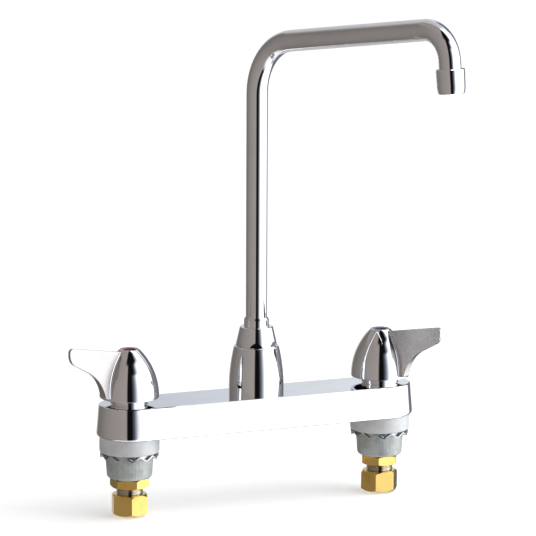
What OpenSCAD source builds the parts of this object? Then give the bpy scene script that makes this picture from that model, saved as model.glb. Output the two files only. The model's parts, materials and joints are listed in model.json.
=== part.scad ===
// Deck-mounted sink faucet: two quarter-turn wing handles on one body bar, and a high
// swing spout on a centre tower. Millimetres, +Z up, +X to the cold side, +Y to the wall.
// The origin lies midway between the two shanks, on the plane where the body meets the deck.

/* [Body bar] */
// Distance between the hot and the cold shank
valve_centres = 203.2; // [190:0.1:230]
// Height of the bar above the deck
body_height = 24.2; // [23.4:0.1:30]
// Radius of the round ends at the deck
body_base_r = 24.4; // [23.4:0.1:28]
// Radius of the round ends at the top
body_top_r = 22.8; // [22.4:0.1:23.3]
// Rounding of the lower edge
body_foot_round = 2.6; // [1:0.1:3.2]
// Rounding of the upper edge
body_edge_round = 1.4; // [0.6:0.1:2]
// Side wall of the casting
body_wall = 3.2; // [2.4:0.1:3.8]
// Top wall of the casting
body_top_wall = 3.6; // [2.6:0.1:4.4]

/* [Waterway] */
// Radius of each valve well
well_r = 12; // [11.6:0.1:12.6]
// Wall round a valve well
well_wall = 3.2; // [2.2:0.1:3.6]
// Thickness of the floor that carries the valve seat
seat_floor = 3; // [2:0.1:4]
// Radius of the hole in the valve seat
seat_hole_r = 5; // [4:0.1:5.6]
// Radius of the cross passage
passage_r = 4.6; // [3.5:0.1:5]
// Wall of the cross passage
passage_wall = 2.6; // [2:0.1:3.2]
// Radius of the mixing chamber under the spout
chamber_r = 8; // [6.9:0.1:8.8]
// Thickness of the chamber's closed bottom
chamber_floor = 4; // [3:0.1:6]

/* [Spout tower] */
// Height of the tower above the deck
tower_top_z = 60; // [58:0.1:75]
// Radius of the tower at its foot
tower_foot_r = 20.5; // [18.5:0.1:22]
// Radius of the tower at its top
tower_top_r = 16.9; // [15.6:0.1:18]
// Height of the tower's straight foot
tower_foot_h = 3.8; // [2:0.1:6]
// Rounding of the tower's top edge
tower_edge_round = 1; // [0.4:0.1:1.4]

/* [Spout nut and swivel] */
// Radius of the swivel barrel
barrel_r = 10.44; // [9.8:0.01:10.8]
// Length of the swivel barrel
barrel_length = 18.4; // [16:0.1:20]
// Thickness of the bearing washer under the swivel flange
bearing_t = 1.5; // [1:0.1:2.5]
// Thickness of the swivel flange
flange_t = 3; // [2:0.1:4]
// Thickness of the friction ring over the swivel flange
friction_t = 1.5; // [1:0.1:2.5]
// Radius of the nut's thread
nut_thread_r = 13.2; // [12.8:0.1:13.8]
// Length of the nut's thread
nut_thread_length = 7.2; // [5:0.1:9]
// Radius of the nut's lower rim
nut_base_r = 15.5; // [14.4:0.1:15.6]
// Radius of the nut's upper rim
nut_top_r = 12.3; // [11.4:0.1:13]
// Height of the nut above the tower
nut_height = 14.6; // [11:0.1:18]
// Width across the wrench flats at the foot of the spout nut
nut_af = 29.3; // [28.8:0.1:30.4]
// Direction of a corner between those flats, in degrees
nut_turn = -83.5; // [-180:0.5:180]
// Radius of the swivel sleeve round the tube
sleeve_r = 9.3; // [9.1:0.1:9.6]
// Height that the sleeve stands above the nut
sleeve_show = 6.9; // [4:0.1:12]
// Gap between the nut and the sleeve
nut_bore_gap = 0.3; // [0.2:0.05:0.5]
// Section radius of the swivel seals
swivel_seal_r = 0.75; // [0.6:0.05:0.9]

/* [Spout] */
// Outer radius of the spout tube
tube_r = 7.95; // [7.6:0.05:8.2]
// Wall of the spout tube
tube_wall = 1.2; // [0.8:0.1:1.6]
// How far each face of the wall is drawn in by bending
bend_draw = 0.03; // [0.02:0.01:0.08]
// Length by which a bend laps into a straight
bend_lap = 0.6; // [0.3:0.1:0.8]
// Height above the deck where the riser's and the arm's centre lines meet
arm_corner_z = 286.1; // [240:0.1:330]
// Distance from the riser's axis to the middle of the outlet
spout_reach = 203.2; // [150:0.1:260]
// Climb of the arm above level, in degrees
arm_climb = 8.85; // [4:0.05:14]
// Outward lean of the drop below the arm, in degrees
drop_lean = 5.5; // [0:0.1:9]
// Centre line radius of the bend at the riser
riser_bend_r = 43.7; // [30:0.1:55]
// Centre line radius of the bend at the outlet
outlet_bend_r = 21.7; // [17:0.1:30]
// Height of the arm's outer corner above the outlet
outlet_drop = 45.8; // [44:0.1:90]
// Direction of the spout at rest, in degrees from +X
spout_turn = -71.2; // [-180:0.1:180]

/* [Outlet] */
// Height of the outlet shell
outlet_height = 17.6; // [16:0.1:19]
// Radius of the outlet shell's upper part
outlet_r = 10.3; // [10:0.05:11]
// Radius of the outlet shell's lower rim
outlet_rim_r = 9.3; // [9:0.05:9.6]
// Length of tube held in the shell
outlet_grip = 7; // [5:0.1:7.4]
// Radius of the chamber that holds the flow straightener
outlet_chamber_r = 8.8; // [8.6:0.05:8.9]
// Radius of the opening in the lower lip
outlet_mouth_r = 7.4; // [6.8:0.05:7.8]
// Thickness of the lower lip
outlet_lip = 1.5; // [1:0.1:2]
// Thickness of the outlet gasket
outlet_gasket_t = 1.4; // [1:0.1:2]
// Thickness of the outlet screen
screen_t = 0.6; // [0.4:0.1:1]
// Pitch of the screen's holes
screen_pitch = 1.8; // [1.4:0.1:2.4]
// Width of the screen's wires
screen_wire = 0.6; // [0.4:0.1:0.8]

/* [Cartridge] */
// Radius of the cartridge barrel
barrel_case_r = 10.4; // [10.2:0.05:10.7]
// Radius of the ceramic discs
disc_r = 8.5; // [7.8:0.05:8.8]
// Thickness of each ceramic disc
disc_t = 2.6; // [2:0.1:3]
// Radius of each port in a disc
disc_port_r = 2.35; // [1.6:0.05:2.6]
// Distance from a disc's centre to each of its ports
disc_port_place = 4.25; // [3.6:0.05:4.6]
// Thickness of the cartridge floor
case_floor = 1.2; // [0.8:0.1:1.8]
// Thickness of the seat seal
seat_seal_t = 1.2; // [0.8:0.1:1.8]
// Thickness of the cartridge flange
case_flange_t = 2.9; // [2.5:0.1:3.2]
// Radius of the cartridge neck
case_neck_r = 7.5; // [7:0.05:8]
// Height of the cartridge neck above the body
case_neck_h = 9.8; // [8:0.1:10.4]
// Section radius of the case seal
case_seal_r = 0.78; // [0.6:0.02:0.9]
// Radius of the valve stem
stem_r = 4.5; // [4.2:0.05:4.8]
// Thickness of the stem's drive flange
stem_flange_t = 1.4; // [1:0.1:1.8]
// Section radius of the stem seal
stem_seal_r = 0.55; // [0.4:0.05:0.65]
// Thickness of the stem clip
clip_t = 1; // [0.6:0.1:1.2]
// Width across the flats of the stem's square end
stem_square = 6.6; // [6:0.1:7]

/* [Bonnet] */
// Radius of the bonnet collar on the body
collar_r = 13.8; // [13:0.1:15]
// Height of the bonnet collar
collar_h = 4.2; // [3:0.1:4.4]
// Rounding of the collar's edge
collar_round = 0.6; // [0.3:0.1:1]

/* [Handle] */
// Gap between the body and the handle's lower edge
handle_gap = 4.8; // [4.6:0.1:7]
// Height of the bell
bell_height = 36.1; // [34:0.1:42]
// Radius of the bell's lower edge
bell_base_r = 22; // [21:0.1:22.4]
// Radius of the bell's top
bell_top_r = 7.3; // [7.1:0.05:8.4]
// Wall of the bell
bell_wall = 2.4; // [1.8:0.1:2.8]
// Rounding of the bell's lower edge
bell_edge_round = 0.7; // [0.4:0.1:1.5]
// Radius of the boss on the stem
boss_r = 7; // [6.4:0.1:8]
// Length of the boss below the bell's crown
boss_length = 19; // [16:0.1:19.4]
// Thickness of the crown over the bell's hollow
crown_t = 9; // [8:0.1:10]
// Radius of the well for the screw head
screw_well_r = 4.4; // [4.2:0.05:4.6]
// Depth of the well for the screw head
screw_well_depth = 7; // [6:0.1:7.6]

/* [Wing] */
// Reach of the wing from the handle's axis
wing_reach = 59.5; // [48:0.1:75]
// Climb of the wing's top edge, in degrees
wing_climb = 10.8; // [6:0.1:15]
// Height of the tip's widest point above the bell's lower edge
wing_tip_z = 39.6; // [36:0.1:42]
// Radius of the tip's lower corner
wing_tip_r = 9.5; // [6:0.1:11]
// Radius of the tip's upper corner
wing_corner_r = 3; // [1.5:0.1:4]
// Slope of the wing's lower edge, in degrees
wing_slope = 28; // [20:0.5:34]
// Radius of the hollow sweep down to the foot
wing_sweep_r = 30; // [24:0.5:32]
// Reach of the wing's foot from the handle's axis
wing_foot = 25.8; // [24:0.1:30]
// Height of the wing's foot above the bell's lower edge
wing_foot_z = 2.2; // [1:0.1:5]
// Thickness of the wing along its top
wing_top_t = 2.3; // [1.6:0.1:3]
// Thickness of the wing at its foot
wing_foot_t = 7.6; // [5:0.1:9]

/* [Handle angles at rest] */
// How far the hot wing is turned forward from straight out, in degrees
hot_turn = 21.5; // [0:0.5:90]
// How far the cold wing is turned forward from straight out, in degrees
cold_turn = 65.5; // [0:0.5:90]

/* [Index ring and screw] */
// Radius of the index ring
index_r = 6.6; // [6.3:0.05:6.7]
// Radius of the index ring's hole
index_hole_r = 4.6; // [4.5:0.05:5.2]
// Thickness of the index ring
index_t = 1.8; // [1.2:0.1:2.4]
// Radius of the handle screw
screw_r = 2; // [1.6:0.05:2.2]
// Length of the handle screw under its head
screw_length = 14; // [11:0.1:16]
// Radius of the screw head
screw_head_r = 3.9; // [3.6:0.05:4.05]
// Height of the screw head
screw_head_h = 3; // [2.4:0.1:3.4]
// Width across the flats of the screw's hex socket
screw_socket = 3; // [2.5:0.1:3.4]

/* [Shank and deck hardware] */
// Radius of the threaded shank
shank_r = 10.5; // [10:0.05:11]
// Radius of the shank's bore
shank_bore_r = 7; // [6:0.1:7.6]
// Depth of the shank's socket in the body
shank_socket = 6; // [4.5:0.1:7]
// Height of the deck washer
deck_washer_h = 11.9; // [8:0.1:15]
// Radius of the deck washer
deck_washer_r = 22.2; // [21:0.1:23]
// Rounding of the deck washer's lower edge
deck_washer_round = 1.6; // [0.8:0.1:2.4]
// Thickness of the lock washer
lock_washer_t = 0.8; // [0.6:0.1:1.4]
// Radius of the lock washer
lock_washer_r = 21.7; // [20:0.1:22.6]
// Depth of the lock washer's waves
lock_wave = 2.3; // [1.5:0.1:3]
// Number of waves in the lock washer
lock_waves = 12; // [8:1:18]
// Height of the locknut
locknut_h = 18.6; // [14:0.1:22]
// Radius of the locknut's top
locknut_top_r = 17.9; // [16.5:0.1:18.4]
// Radius of the locknut above its rounded edge
locknut_low_r = 16.6; // [15.6:0.1:17.4]
// Rounding of the locknut's lower edge
locknut_round = 2.8; // [1.5:0.1:3]

/* [Inlet fitting] */
// Width across the flats of the adapter
adapter_af = 25.4; // [24.4:0.1:28]
// Height of the adapter's hexagon
adapter_hex_h = 7.5; // [6.4:0.1:10]
// Depth that the shank enters the adapter
adapter_socket = 4.6; // [3.5:0.1:5.2]
// Thickness of the fibre washer in the adapter
inlet_washer_t = 1; // [0.6:0.1:1.2]
// Radius of the adapter's threaded neck
neck_r = 9.8; // [9.4:0.05:10.2]
// Length of neck that shows above the coupling nut
neck_show = 4.6; // [3:0.1:7]
// Length of neck inside the coupling nut
neck_grip = 9; // [7:0.1:10]
// Radius of the supply tube's socket
supply_r = 6.45; // [6.4:0.01:6.6]
// Depth of the supply tube's socket in the adapter
supply_depth = 11; // [9:0.1:12]
// Radius of the adapter's waterway
adapter_bore_r = 5; // [4:0.1:5.6]
// Width across the flats of the coupling nut
coupling_af = 25; // [24:0.1:27]
// Height of the coupling nut
coupling_h = 15.7; // [15:0.1:19]
// Radius of the tube hole in the coupling nut
coupling_hole_r = 6.7; // [6.65:0.01:6.9]
// Thickness of the coupling nut's end
coupling_end = 2.6; // [2:0.1:3]
// Outer radius of the compression sleeve
ferrule_r = 8.2; // [7.8:0.05:8.6]
// Length of the sleeve's cone in the adapter's mouth
ferrule_cone_h = 1.5; // [0.8:0.1:2]
// Drop in radius along the sleeve's cone
ferrule_cone_d = 1.1; // [0.6:0.1:1.3]

/* [Turn of the hexagons] */
// Direction of a corner of the hot adapter, in degrees
hot_adapter_turn = -89; // [-180:1:180]
// Direction of a corner of the hot coupling nut, in degrees
hot_coupling_turn = -105; // [-180:1:180]
// Direction of a corner of the cold adapter, in degrees
cold_adapter_turn = -117; // [-180:1:180]
// Direction of a corner of the cold coupling nut, in degrees
cold_coupling_turn = -126; // [-180:1:180]

/* [Fits] */
// Radial clearance of turning shafts and barrels
running_gap = 0.05; // [0.02:0.01:0.08]
// Radial clearance of screwed and slipped joints
thread_gap = 0.05; // [0.02:0.01:0.1]
// Radial clearance of parts that drop in
drop_gap = 0.1; // [0.05:0.01:0.15]
// Ease of a seal in its groove
seal_ease = 0.02; // [0.01:0.01:0.04]

/* [Hidden] */
$fn = 96;
eps = 0.01;

// Colours
chrome = [0.80, 0.81, 0.83];
satin_zinc = [0.68, 0.69, 0.71];
dull_zinc = [0.55, 0.58, 0.57];
brass = [0.80, 0.64, 0.25];
black_rubber = [0.10, 0.10, 0.11];
white_plastic = [0.90, 0.90, 0.88];
fibre = [0.45, 0.20, 0.14];
white_ceramic = [0.93, 0.92, 0.88];
steel = [0.62, 0.63, 0.65];
hot_red = [0.72, 0.10, 0.10];
cold_blue = [0.20, 0.32, 0.62];

// Places along Z, from the deck up
valve_x = valve_centres / 2;
seat_z = shank_socket + seat_floor;
case_z = seat_z + seat_seal_t;
lower_disc_z = case_z + case_floor;
upper_disc_z = lower_disc_z + disc_t;
stem_z = upper_disc_z + disc_t;
case_ceiling_z = stem_z + stem_flange_t + drop_gap;
case_shoulder_z = case_ceiling_z + case_flange_t;
case_top_z = body_height + case_neck_h;
passage_z = upper_disc_z;
bell_z = body_height + handle_gap;
bell_top_z = bell_z + bell_height;
crown_z = bell_top_z - crown_t;
screw_seat_z = bell_top_z - screw_well_depth;
boss_z = crown_z - boss_length;
socket_top_z = screw_seat_z - 6;
stem_top_z = socket_top_z - 0.4;
clip_z = case_top_z + 0.2;
clip_groove_r = stem_r - 0.6;
square_z = clip_z + clip_t + 0.4;
stem_seal_z = body_height + 2.4;
stem_hole_depth = screw_length + 1 - (screw_seat_z - stem_top_z);

// Directions of the wings, from +X
hot_angle = 180 + hot_turn;
cold_angle = -cold_turn;

// Places along Z, from the deck down
deck_washer_z = -deck_washer_h;
locknut_z = deck_washer_z - lock_washer_t;
adapter_z = locknut_z - locknut_h;
shank_end_z = adapter_z - adapter_socket;
hex_end_z = adapter_z - adapter_hex_h;
coupling_z = hex_end_z - neck_show;
neck_end_z = coupling_z - neck_grip;
coupling_end_z = coupling_z - coupling_h;

// Places in the tower
chamber_top_z = tower_top_z - nut_thread_length - friction_t - flange_t - bearing_t - barrel_length - 1;
barrel_z = chamber_top_z + 1;
ledge_z = barrel_z + barrel_length;
flange_z = ledge_z + bearing_t;
friction_z = flange_z + flange_t;
nut_thread_z = friction_z + friction_t;
nut_top_z = tower_top_z + nut_height;
sleeve_top_z = nut_top_z + sleeve_show;
tube_foot_z = nut_thread_z + 4;
barrel_bore_r = barrel_r + running_gap;
tower_bore_r = nut_thread_r + thread_gap;
flange_r = nut_thread_r - 0.3;
swivel_seal_heights = [barrel_z + barrel_length / 3, barrel_z + 2 * barrel_length / 3];

// The spout's centre line, in the plane of the arm
corner_reach = spout_reach - outlet_drop * tan(drop_lean);
outlet_z = arm_corner_z + corner_reach * tan(arm_climb) - outlet_drop;
arm_length = corner_reach / cos(arm_climb);
riser_bend = 90 - arm_climb;
outlet_bend = 90 + arm_climb - drop_lean;
riser_tangent = riser_bend_r * tan(riser_bend / 2);
outlet_tangent = outlet_bend_r * tan(outlet_bend / 2);
drop_length = outlet_drop / cos(drop_lean);

// Points along an arc round (cx, cy)
function arc(cx, cy, r, a0, a1, n = 8) =
    [for (i = [0:n]) let (a = a0 + (a1 - a0) * i / n) [cx + r * cos(a), cy + r * sin(a)]];

// Radius of the circle that leaves the vertical at height 0 and has drawn in by d at height h
function ogive_r(d, h) = (d * d + h * h) / (2 * d);

// Points up an ogive from radius r0 at z0 to radius r1 at z1
function ogive(r0, z0, r1, z1, n = 12) =
    let (rho = ogive_r(r0 - r1, z1 - z0), sweep = asin((z1 - z0) / rho))
    [for (i = [0:n]) let (a = sweep * i / n) [r0 - rho + rho * cos(a), z0 + rho * sin(a)]];

module ring(r_out, r_in, h) {
    difference() {
        cylinder(r = r_out, h = h);
        translate([0, 0, -eps]) cylinder(r = r_in, h = h + 2 * eps);
    }
}

module o_ring(mean_r, section_r) {
    rotate_extrude() translate([mean_r, 0]) circle(r = section_r, $fn = 24);
}

module hexagon(af, h, turn) {
    rotate([0, 0, turn]) cylinder(r = af / 2 / cos(30), h = h, $fn = 6);
}

module at_hot() {
    translate([-valve_x, 0, 0]) children();
}

module at_cold() {
    translate([valve_x, 0, 0]) children();
}

// Half of the bar's cross-section, from the middle out
function bar_half() =
    let (
        lean = atan((body_base_r - body_top_r) / body_height),
        foot = body_base_r - body_foot_round,
        edge = body_top_r - body_edge_round,
        edge_z = body_height - body_edge_round
    )
    concat(
        [[0, 0]],
        arc(foot, body_foot_round, body_foot_round, -90, lean, 6),
        arc(edge, edge_z, body_edge_round, lean, 90, 6),
        [[0, body_height]]
    );

module bar_outside() {
    half = bar_half();
    for (side = [-1, 1]) translate([side * valve_x, 0, 0]) rotate_extrude() polygon(half);
    translate([-valve_x, 0, 0]) rotate([90, 0, 90]) linear_extrude(valve_centres)
        union() {
            polygon(half);
            mirror([1, 0]) polygon(half);
        }
}

module bar_hollow() {
    r = body_top_r - body_wall;
    h = body_height - body_top_wall;
    translate([0, 0, -1]) {
        for (side = [-1, 1]) translate([side * valve_x, 0, 0]) cylinder(r = r, h = h + 1);
        translate([-valve_x, -r, 0]) cube([valve_centres, 2 * r, h + 1]);
    }
}

module tower_outside() {
    foot_z = body_height + tower_foot_h;
    top = tower_top_r - tower_edge_round;
    outline = concat(
        [[0, body_height - body_top_wall / 2], [tower_foot_r, body_height - body_top_wall / 2]],
        ogive(tower_foot_r, foot_z, tower_top_r, tower_top_z - tower_edge_round),
        arc(top, tower_top_z - tower_edge_round, tower_edge_round, 15, 90, 4),
        [[0, tower_top_z]]
    );
    rotate_extrude() polygon(outline);
}

module deck_body() {
    color(chrome) difference() {
        union() {
            difference() {
                bar_outside();
                bar_hollow();
            }
            tower_outside();
            for (side = [-1, 1]) translate([side * valve_x, 0, 0])
                cylinder(r = well_r + well_wall, h = body_height - body_edge_round);
            cylinder(r = barrel_bore_r + body_wall, h = body_height);
            translate([-valve_x, 0, passage_z]) rotate([0, 90, 0])
                cylinder(r = passage_r + passage_wall, h = valve_centres);
        }
        for (side = [-1, 1]) translate([side * valve_x, 0, 0]) {
            translate([0, 0, seat_z]) cylinder(r = well_r, h = body_height);
            translate([0, 0, -1]) cylinder(r = seat_hole_r, h = seat_z + 2);
            translate([0, 0, -1]) cylinder(r = shank_r + thread_gap, h = shank_socket + 1);
        }
        translate([-valve_x, 0, passage_z]) rotate([0, 90, 0]) cylinder(r = passage_r, h = valve_centres);
        translate([0, 0, chamber_floor]) cylinder(r = chamber_r, h = tower_top_z);
        translate([0, 0, chamber_top_z]) cylinder(r = barrel_bore_r, h = tower_top_z);
        translate([0, 0, ledge_z]) cylinder(r = tower_bore_r, h = tower_top_z);
    }
}

module spout_nut() {
    edge = 0.8;
    outline = [
        [sleeve_r + nut_bore_gap, nut_thread_z], [nut_thread_r, nut_thread_z],
        [nut_thread_r, tower_top_z], [nut_base_r - edge / 2, tower_top_z],
        [nut_base_r, tower_top_z + edge], [nut_top_r + edge / 2, nut_top_z - 1.6 * edge],
        [nut_top_r - edge / 2, nut_top_z - edge / 4], [nut_top_r - 1.5 * edge, nut_top_z],
        [sleeve_r + nut_bore_gap, nut_top_z]
    ];
    color(chrome) intersection() {
        rotate_extrude() polygon(outline);
        translate([0, 0, nut_thread_z - 1])
            hexagon(nut_af, nut_height + nut_thread_length + 2, nut_turn);
    }
}

module swivel_washer() {
    color(white_plastic) translate([0, 0, ledge_z]) ring(flange_r, barrel_r + 0.3, bearing_t);
}

module friction_ring() {
    color(white_plastic) translate([0, 0, friction_z]) ring(flange_r, sleeve_r + nut_bore_gap, friction_t);
}

// Deck hardware and inlet fittings of one side, on the shank's axis

module shank() {
    color(brass) translate([0, 0, shank_end_z]) ring(shank_r, shank_bore_r, shank_socket - shank_end_z);
}

module deck_washer() {
    bore = shank_r + drop_gap;
    lip = deck_washer_r - deck_washer_round;
    outline = concat(
        [[bore, 0], [bore, deck_washer_z]],
        arc(lip, deck_washer_z + deck_washer_round, deck_washer_round, -90, 0, 5),
        [[deck_washer_r, 0]]
    );
    color(satin_zinc) rotate_extrude() polygon(outline);
}

// A flat ring whose rim is folded into waves
module lock_washer() {
    stations = 4 * lock_waves;
    wave = [0, 0.5, 1, 0.5];
    radii = [shank_r + drop_gap, locknut_top_r + 0.3, lock_washer_r];
    loop = [[0, 0], [1, 0], [2, 0], [2, 1], [1, 1], [0, 1]];
    count = len(loop);
    points = [
        for (j = [0:stations - 1])
            for (p = loop)
                let (
                    a = 360 * j / stations,
                    r = radii[p[0]],
                    drop = p[0] == 2 ? lock_wave * wave[j % 4] : 0,
                    z = deck_washer_z - p[1] * lock_washer_t - drop
                )
                [r * cos(a), r * sin(a), z]
    ];
    faces = [
        for (j = [0:stations - 1])
            for (k = [0:count - 1])
                let (
                    a = j * count + k,
                    b = j * count + (k + 1) % count,
                    c = ((j + 1) % stations) * count + (k + 1) % count,
                    d = ((j + 1) % stations) * count + k
                )
                each [[a, c, b], [a, d, c]]
    ];
    color(steel) polyhedron(points, faces);
}

module locknut() {
    bore = shank_r + thread_gap;
    lip = locknut_low_r - locknut_round;
    outline = concat(
        [[bore, locknut_z], [bore, adapter_z]],
        arc(lip, adapter_z + locknut_round, locknut_round, -90, 0, 6),
        [[locknut_top_r, locknut_z]]
    );
    color(dull_zinc) rotate_extrude() polygon(outline);
}

module inlet_adapter(turn) {
    color(brass) difference() {
        union() {
            translate([0, 0, hex_end_z]) hexagon(adapter_af, adapter_hex_h, turn);
            translate([0, 0, neck_end_z]) cylinder(r = neck_r, h = neck_show + neck_grip + eps);
        }
        translate([0, 0, shank_end_z - inlet_washer_t])
            cylinder(r = shank_r + thread_gap, h = adapter_socket + inlet_washer_t + 1);
        translate([0, 0, neck_end_z - 1])
            cylinder(r = adapter_bore_r, h = coupling_h + neck_grip + adapter_hex_h);
        translate([0, 0, neck_end_z - 1]) cylinder(r = supply_r, h = supply_depth + 1);
        translate([0, 0, neck_end_z]) rotate_extrude() polygon([
            [0, -1], [ferrule_r + thread_gap, -1], [ferrule_r + thread_gap, 0],
            [ferrule_r - ferrule_cone_d + thread_gap, ferrule_cone_h], [0, ferrule_cone_h]
        ]);
    }
}

module inlet_washer() {
    color(fibre) translate([0, 0, shank_end_z - inlet_washer_t])
        ring(shank_r - drop_gap, adapter_bore_r + 0.6, inlet_washer_t);
}

module coupling_nut(turn) {
    bevel = 3;
    face_r = coupling_af / 2 - 0.4;
    color(brass) difference() {
        intersection() {
            translate([0, 0, coupling_end_z]) hexagon(coupling_af, coupling_h, turn);
            rotate_extrude() polygon([
                [0, coupling_end_z], [face_r, coupling_end_z],
                [face_r + 1.3 * bevel, coupling_end_z + bevel], [face_r + 1.3 * bevel, coupling_z - bevel],
                [face_r, coupling_z], [0, coupling_z]
            ]);
        }
        translate([0, 0, coupling_end_z + coupling_end]) cylinder(r = neck_r + thread_gap, h = coupling_h);
        translate([0, 0, coupling_end_z - 1]) cylinder(r = coupling_hole_r, h = coupling_h);
    }
}

module compression_sleeve() {
    low = coupling_end_z + coupling_end;
    tip_r = ferrule_r - ferrule_cone_d;
    color(brass) rotate_extrude() polygon([
        [supply_r, low], [tip_r, low], [ferrule_r, low + ferrule_cone_h],
        [ferrule_r, neck_end_z], [tip_r, neck_end_z + ferrule_cone_h],
        [supply_r, neck_end_z + ferrule_cone_h]
    ]);
}

// Cartridge of one side

module seat_seal() {
    color(black_rubber) translate([0, 0, seat_z]) ring(disc_r, seat_hole_r + 0.4, seat_seal_t);
}

module cartridge_case() {
    cavity_r = disc_r + drop_gap;
    window_h = case_ceiling_z - upper_disc_z - 0.6;
    color(brass) difference() {
        union() {
            translate([0, 0, case_z]) cylinder(r = barrel_case_r, h = case_shoulder_z - case_z);
            translate([0, 0, case_ceiling_z]) cylinder(r = well_r - drop_gap, h = case_flange_t);
            translate([0, 0, case_z]) cylinder(r = case_neck_r, h = case_top_z - case_z);
        }
        translate([0, 0, lower_disc_z]) cylinder(r = cavity_r, h = case_ceiling_z - lower_disc_z);
        translate([0, 0, case_z - 1]) cylinder(r = seat_hole_r, h = case_floor + 2);
        translate([0, 0, case_z]) cylinder(r = stem_r + running_gap, h = case_top_z);
        translate([0, 0, case_ceiling_z + case_flange_t / 2 - case_seal_r])
            ring(well_r + 1, well_r - 2 * case_seal_r, 2 * case_seal_r);
        for (a = [45, 135])
            rotate([0, 0, a]) translate([-well_r, -3, upper_disc_z + 0.3]) cube([2 * well_r, 6, window_h]);
    }
}

module case_seal() {
    color(black_rubber) translate([0, 0, case_ceiling_z + case_flange_t / 2])
        o_ring(well_r - case_seal_r - seal_ease, case_seal_r - seal_ease);
}

// A ceramic disc with two ports opposite each other
module ceramic_disc(z, turn) {
    color(white_ceramic) translate([0, 0, z]) rotate([0, 0, turn]) difference() {
        cylinder(r = disc_r, h = disc_t);
        for (side = [-1, 1])
            translate([side * disc_port_place, 0, -1]) cylinder(r = disc_port_r, h = disc_t + 2);
    }
}

module valve_stem(turn) {
    color(brass) difference() {
        union() {
            translate([0, 0, stem_z]) cylinder(r = disc_r - 0.3, h = stem_flange_t);
            translate([0, 0, stem_z]) cylinder(r = stem_r, h = square_z - stem_z);
            intersection() {
                translate([0, 0, stem_z]) cylinder(r = stem_r, h = stem_top_z - stem_z);
                rotate([0, 0, turn]) translate([-stem_square / 2, -stem_square / 2, stem_z])
                    cube([stem_square, stem_square, stem_top_z - stem_z]);
            }
        }
        translate([0, 0, clip_z]) ring(stem_r + 1, clip_groove_r, clip_t);
        translate([0, 0, stem_seal_z - stem_seal_r])
            ring(stem_r + 1, stem_r - 2 * stem_seal_r, 2 * stem_seal_r);
        translate([0, 0, stem_top_z - stem_hole_depth])
            cylinder(r = screw_r + thread_gap, h = stem_hole_depth + 1);
    }
}

module stem_seal() {
    color(black_rubber) translate([0, 0, stem_seal_z])
        o_ring(stem_r - stem_seal_r - seal_ease, stem_seal_r - seal_ease);
}

module stem_clip(turn) {
    outer = case_neck_r - 1;
    color(steel) translate([0, 0, clip_z]) rotate([0, 0, turn]) difference() {
        ring(outer, clip_groove_r + 0.05, clip_t);
        translate([0, -clip_groove_r * 0.7, -1]) cube([outer + 1, clip_groove_r * 1.4, clip_t + 2]);
    }
}

module bonnet() {
    top = body_height + collar_h;
    outline = concat(
        [
            [case_neck_r + drop_gap, case_shoulder_z], [well_r - drop_gap, case_shoulder_z],
            [well_r - drop_gap, body_height], [collar_r, body_height]
        ],
        arc(collar_r - collar_round, top - collar_round, collar_round, 0, 90, 4),
        [[case_neck_r + drop_gap, top]]
    );
    color(chrome) rotate_extrude() polygon(outline);
}

// Handle of one side: a bell on a boss with one wing, along +X before it is turned

module bell_outside() {
    edge = bell_edge_round;
    outline = concat(
        [[0, bell_z]],
        arc(bell_base_r - edge, bell_z + edge, edge, -90, 0, 5),
        ogive(bell_base_r, bell_z + edge, bell_top_r, bell_top_z),
        [[0, bell_top_z]]
    );
    rotate_extrude() polygon(outline);
}

module bell_hollow() {
    inside = [
        for (p = ogive(bell_base_r, bell_z + bell_edge_round, bell_top_r, bell_top_z, 24))
            if (p[1] < crown_z - 1) [p[0] - bell_wall, p[1]]
    ];
    last = inside[len(inside) - 1];
    outline = concat(
        [[boss_r, bell_z - 1], [bell_base_r - bell_wall, bell_z - 1]],
        inside,
        [[last[0] - 1, crown_z], [boss_r, crown_z]]
    );
    rotate_extrude() polygon(outline);
    translate([0, 0, bell_z - 1]) cylinder(r = bell_base_r - bell_wall, h = boss_z - bell_z + 1);
}

// Side view of the wing: straight top, round tip, hollow lower edge and a short foot
function wing_side() =
    let (
        tip_x = wing_reach - wing_tip_r,
        tip_z = bell_z + wing_tip_z,
        sweep_x = wing_foot + wing_sweep_r,
        root_z = bell_top_z - 1.2,
        top_x = wing_reach - wing_corner_r,
        top_z = root_z + (top_x - bell_top_r) * tan(wing_climb) - wing_corner_r,
        edge_x = tip_x + wing_tip_r * sin(wing_slope),
        edge_z = tip_z - wing_tip_r * cos(wing_slope),
        sweep_z = edge_z - (edge_x - sweep_x + wing_sweep_r * sin(wing_slope)) * tan(wing_slope)
            - wing_sweep_r * cos(wing_slope),
        foot_z = bell_z + wing_foot_z,
        sweep_end = 180 - asin(max(0, foot_z + 1 - sweep_z) / wing_sweep_r)
    )
    concat(
        [[boss_r, root_z - (bell_top_r - boss_r) * tan(wing_climb)]],
        arc(top_x, top_z, wing_corner_r, 90 + wing_climb, 0, 6),
        arc(tip_x, tip_z, wing_tip_r, 0, wing_slope - 90, 8),
        arc(sweep_x, sweep_z, wing_sweep_r, 90 + wing_slope, sweep_end, 12),
        [[wing_foot, foot_z + 0.8], [wing_foot - 1, foot_z], [boss_r, foot_z]]
    );

// End view of the wing: a wedge, thick at the foot and thin along the top
module wing() {
    top = bell_z + wing_tip_z + 20;
    waist_z = bell_z + wing_tip_z - wing_tip_r;
    intersection() {
        rotate([90, 0, 0]) translate([0, 0, -wing_foot_t])
            linear_extrude(2 * wing_foot_t) polygon(wing_side());
        rotate([90, 0, 90]) linear_extrude(2 * wing_reach) polygon([
            [-wing_foot_t / 2, bell_z], [wing_foot_t / 2, bell_z],
            [wing_top_t / 2 + 0.15, waist_z], [wing_top_t / 2, top],
            [-wing_top_t / 2, top], [-wing_top_t / 2 - 0.15, waist_z]
        ]);
    }
}

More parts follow.
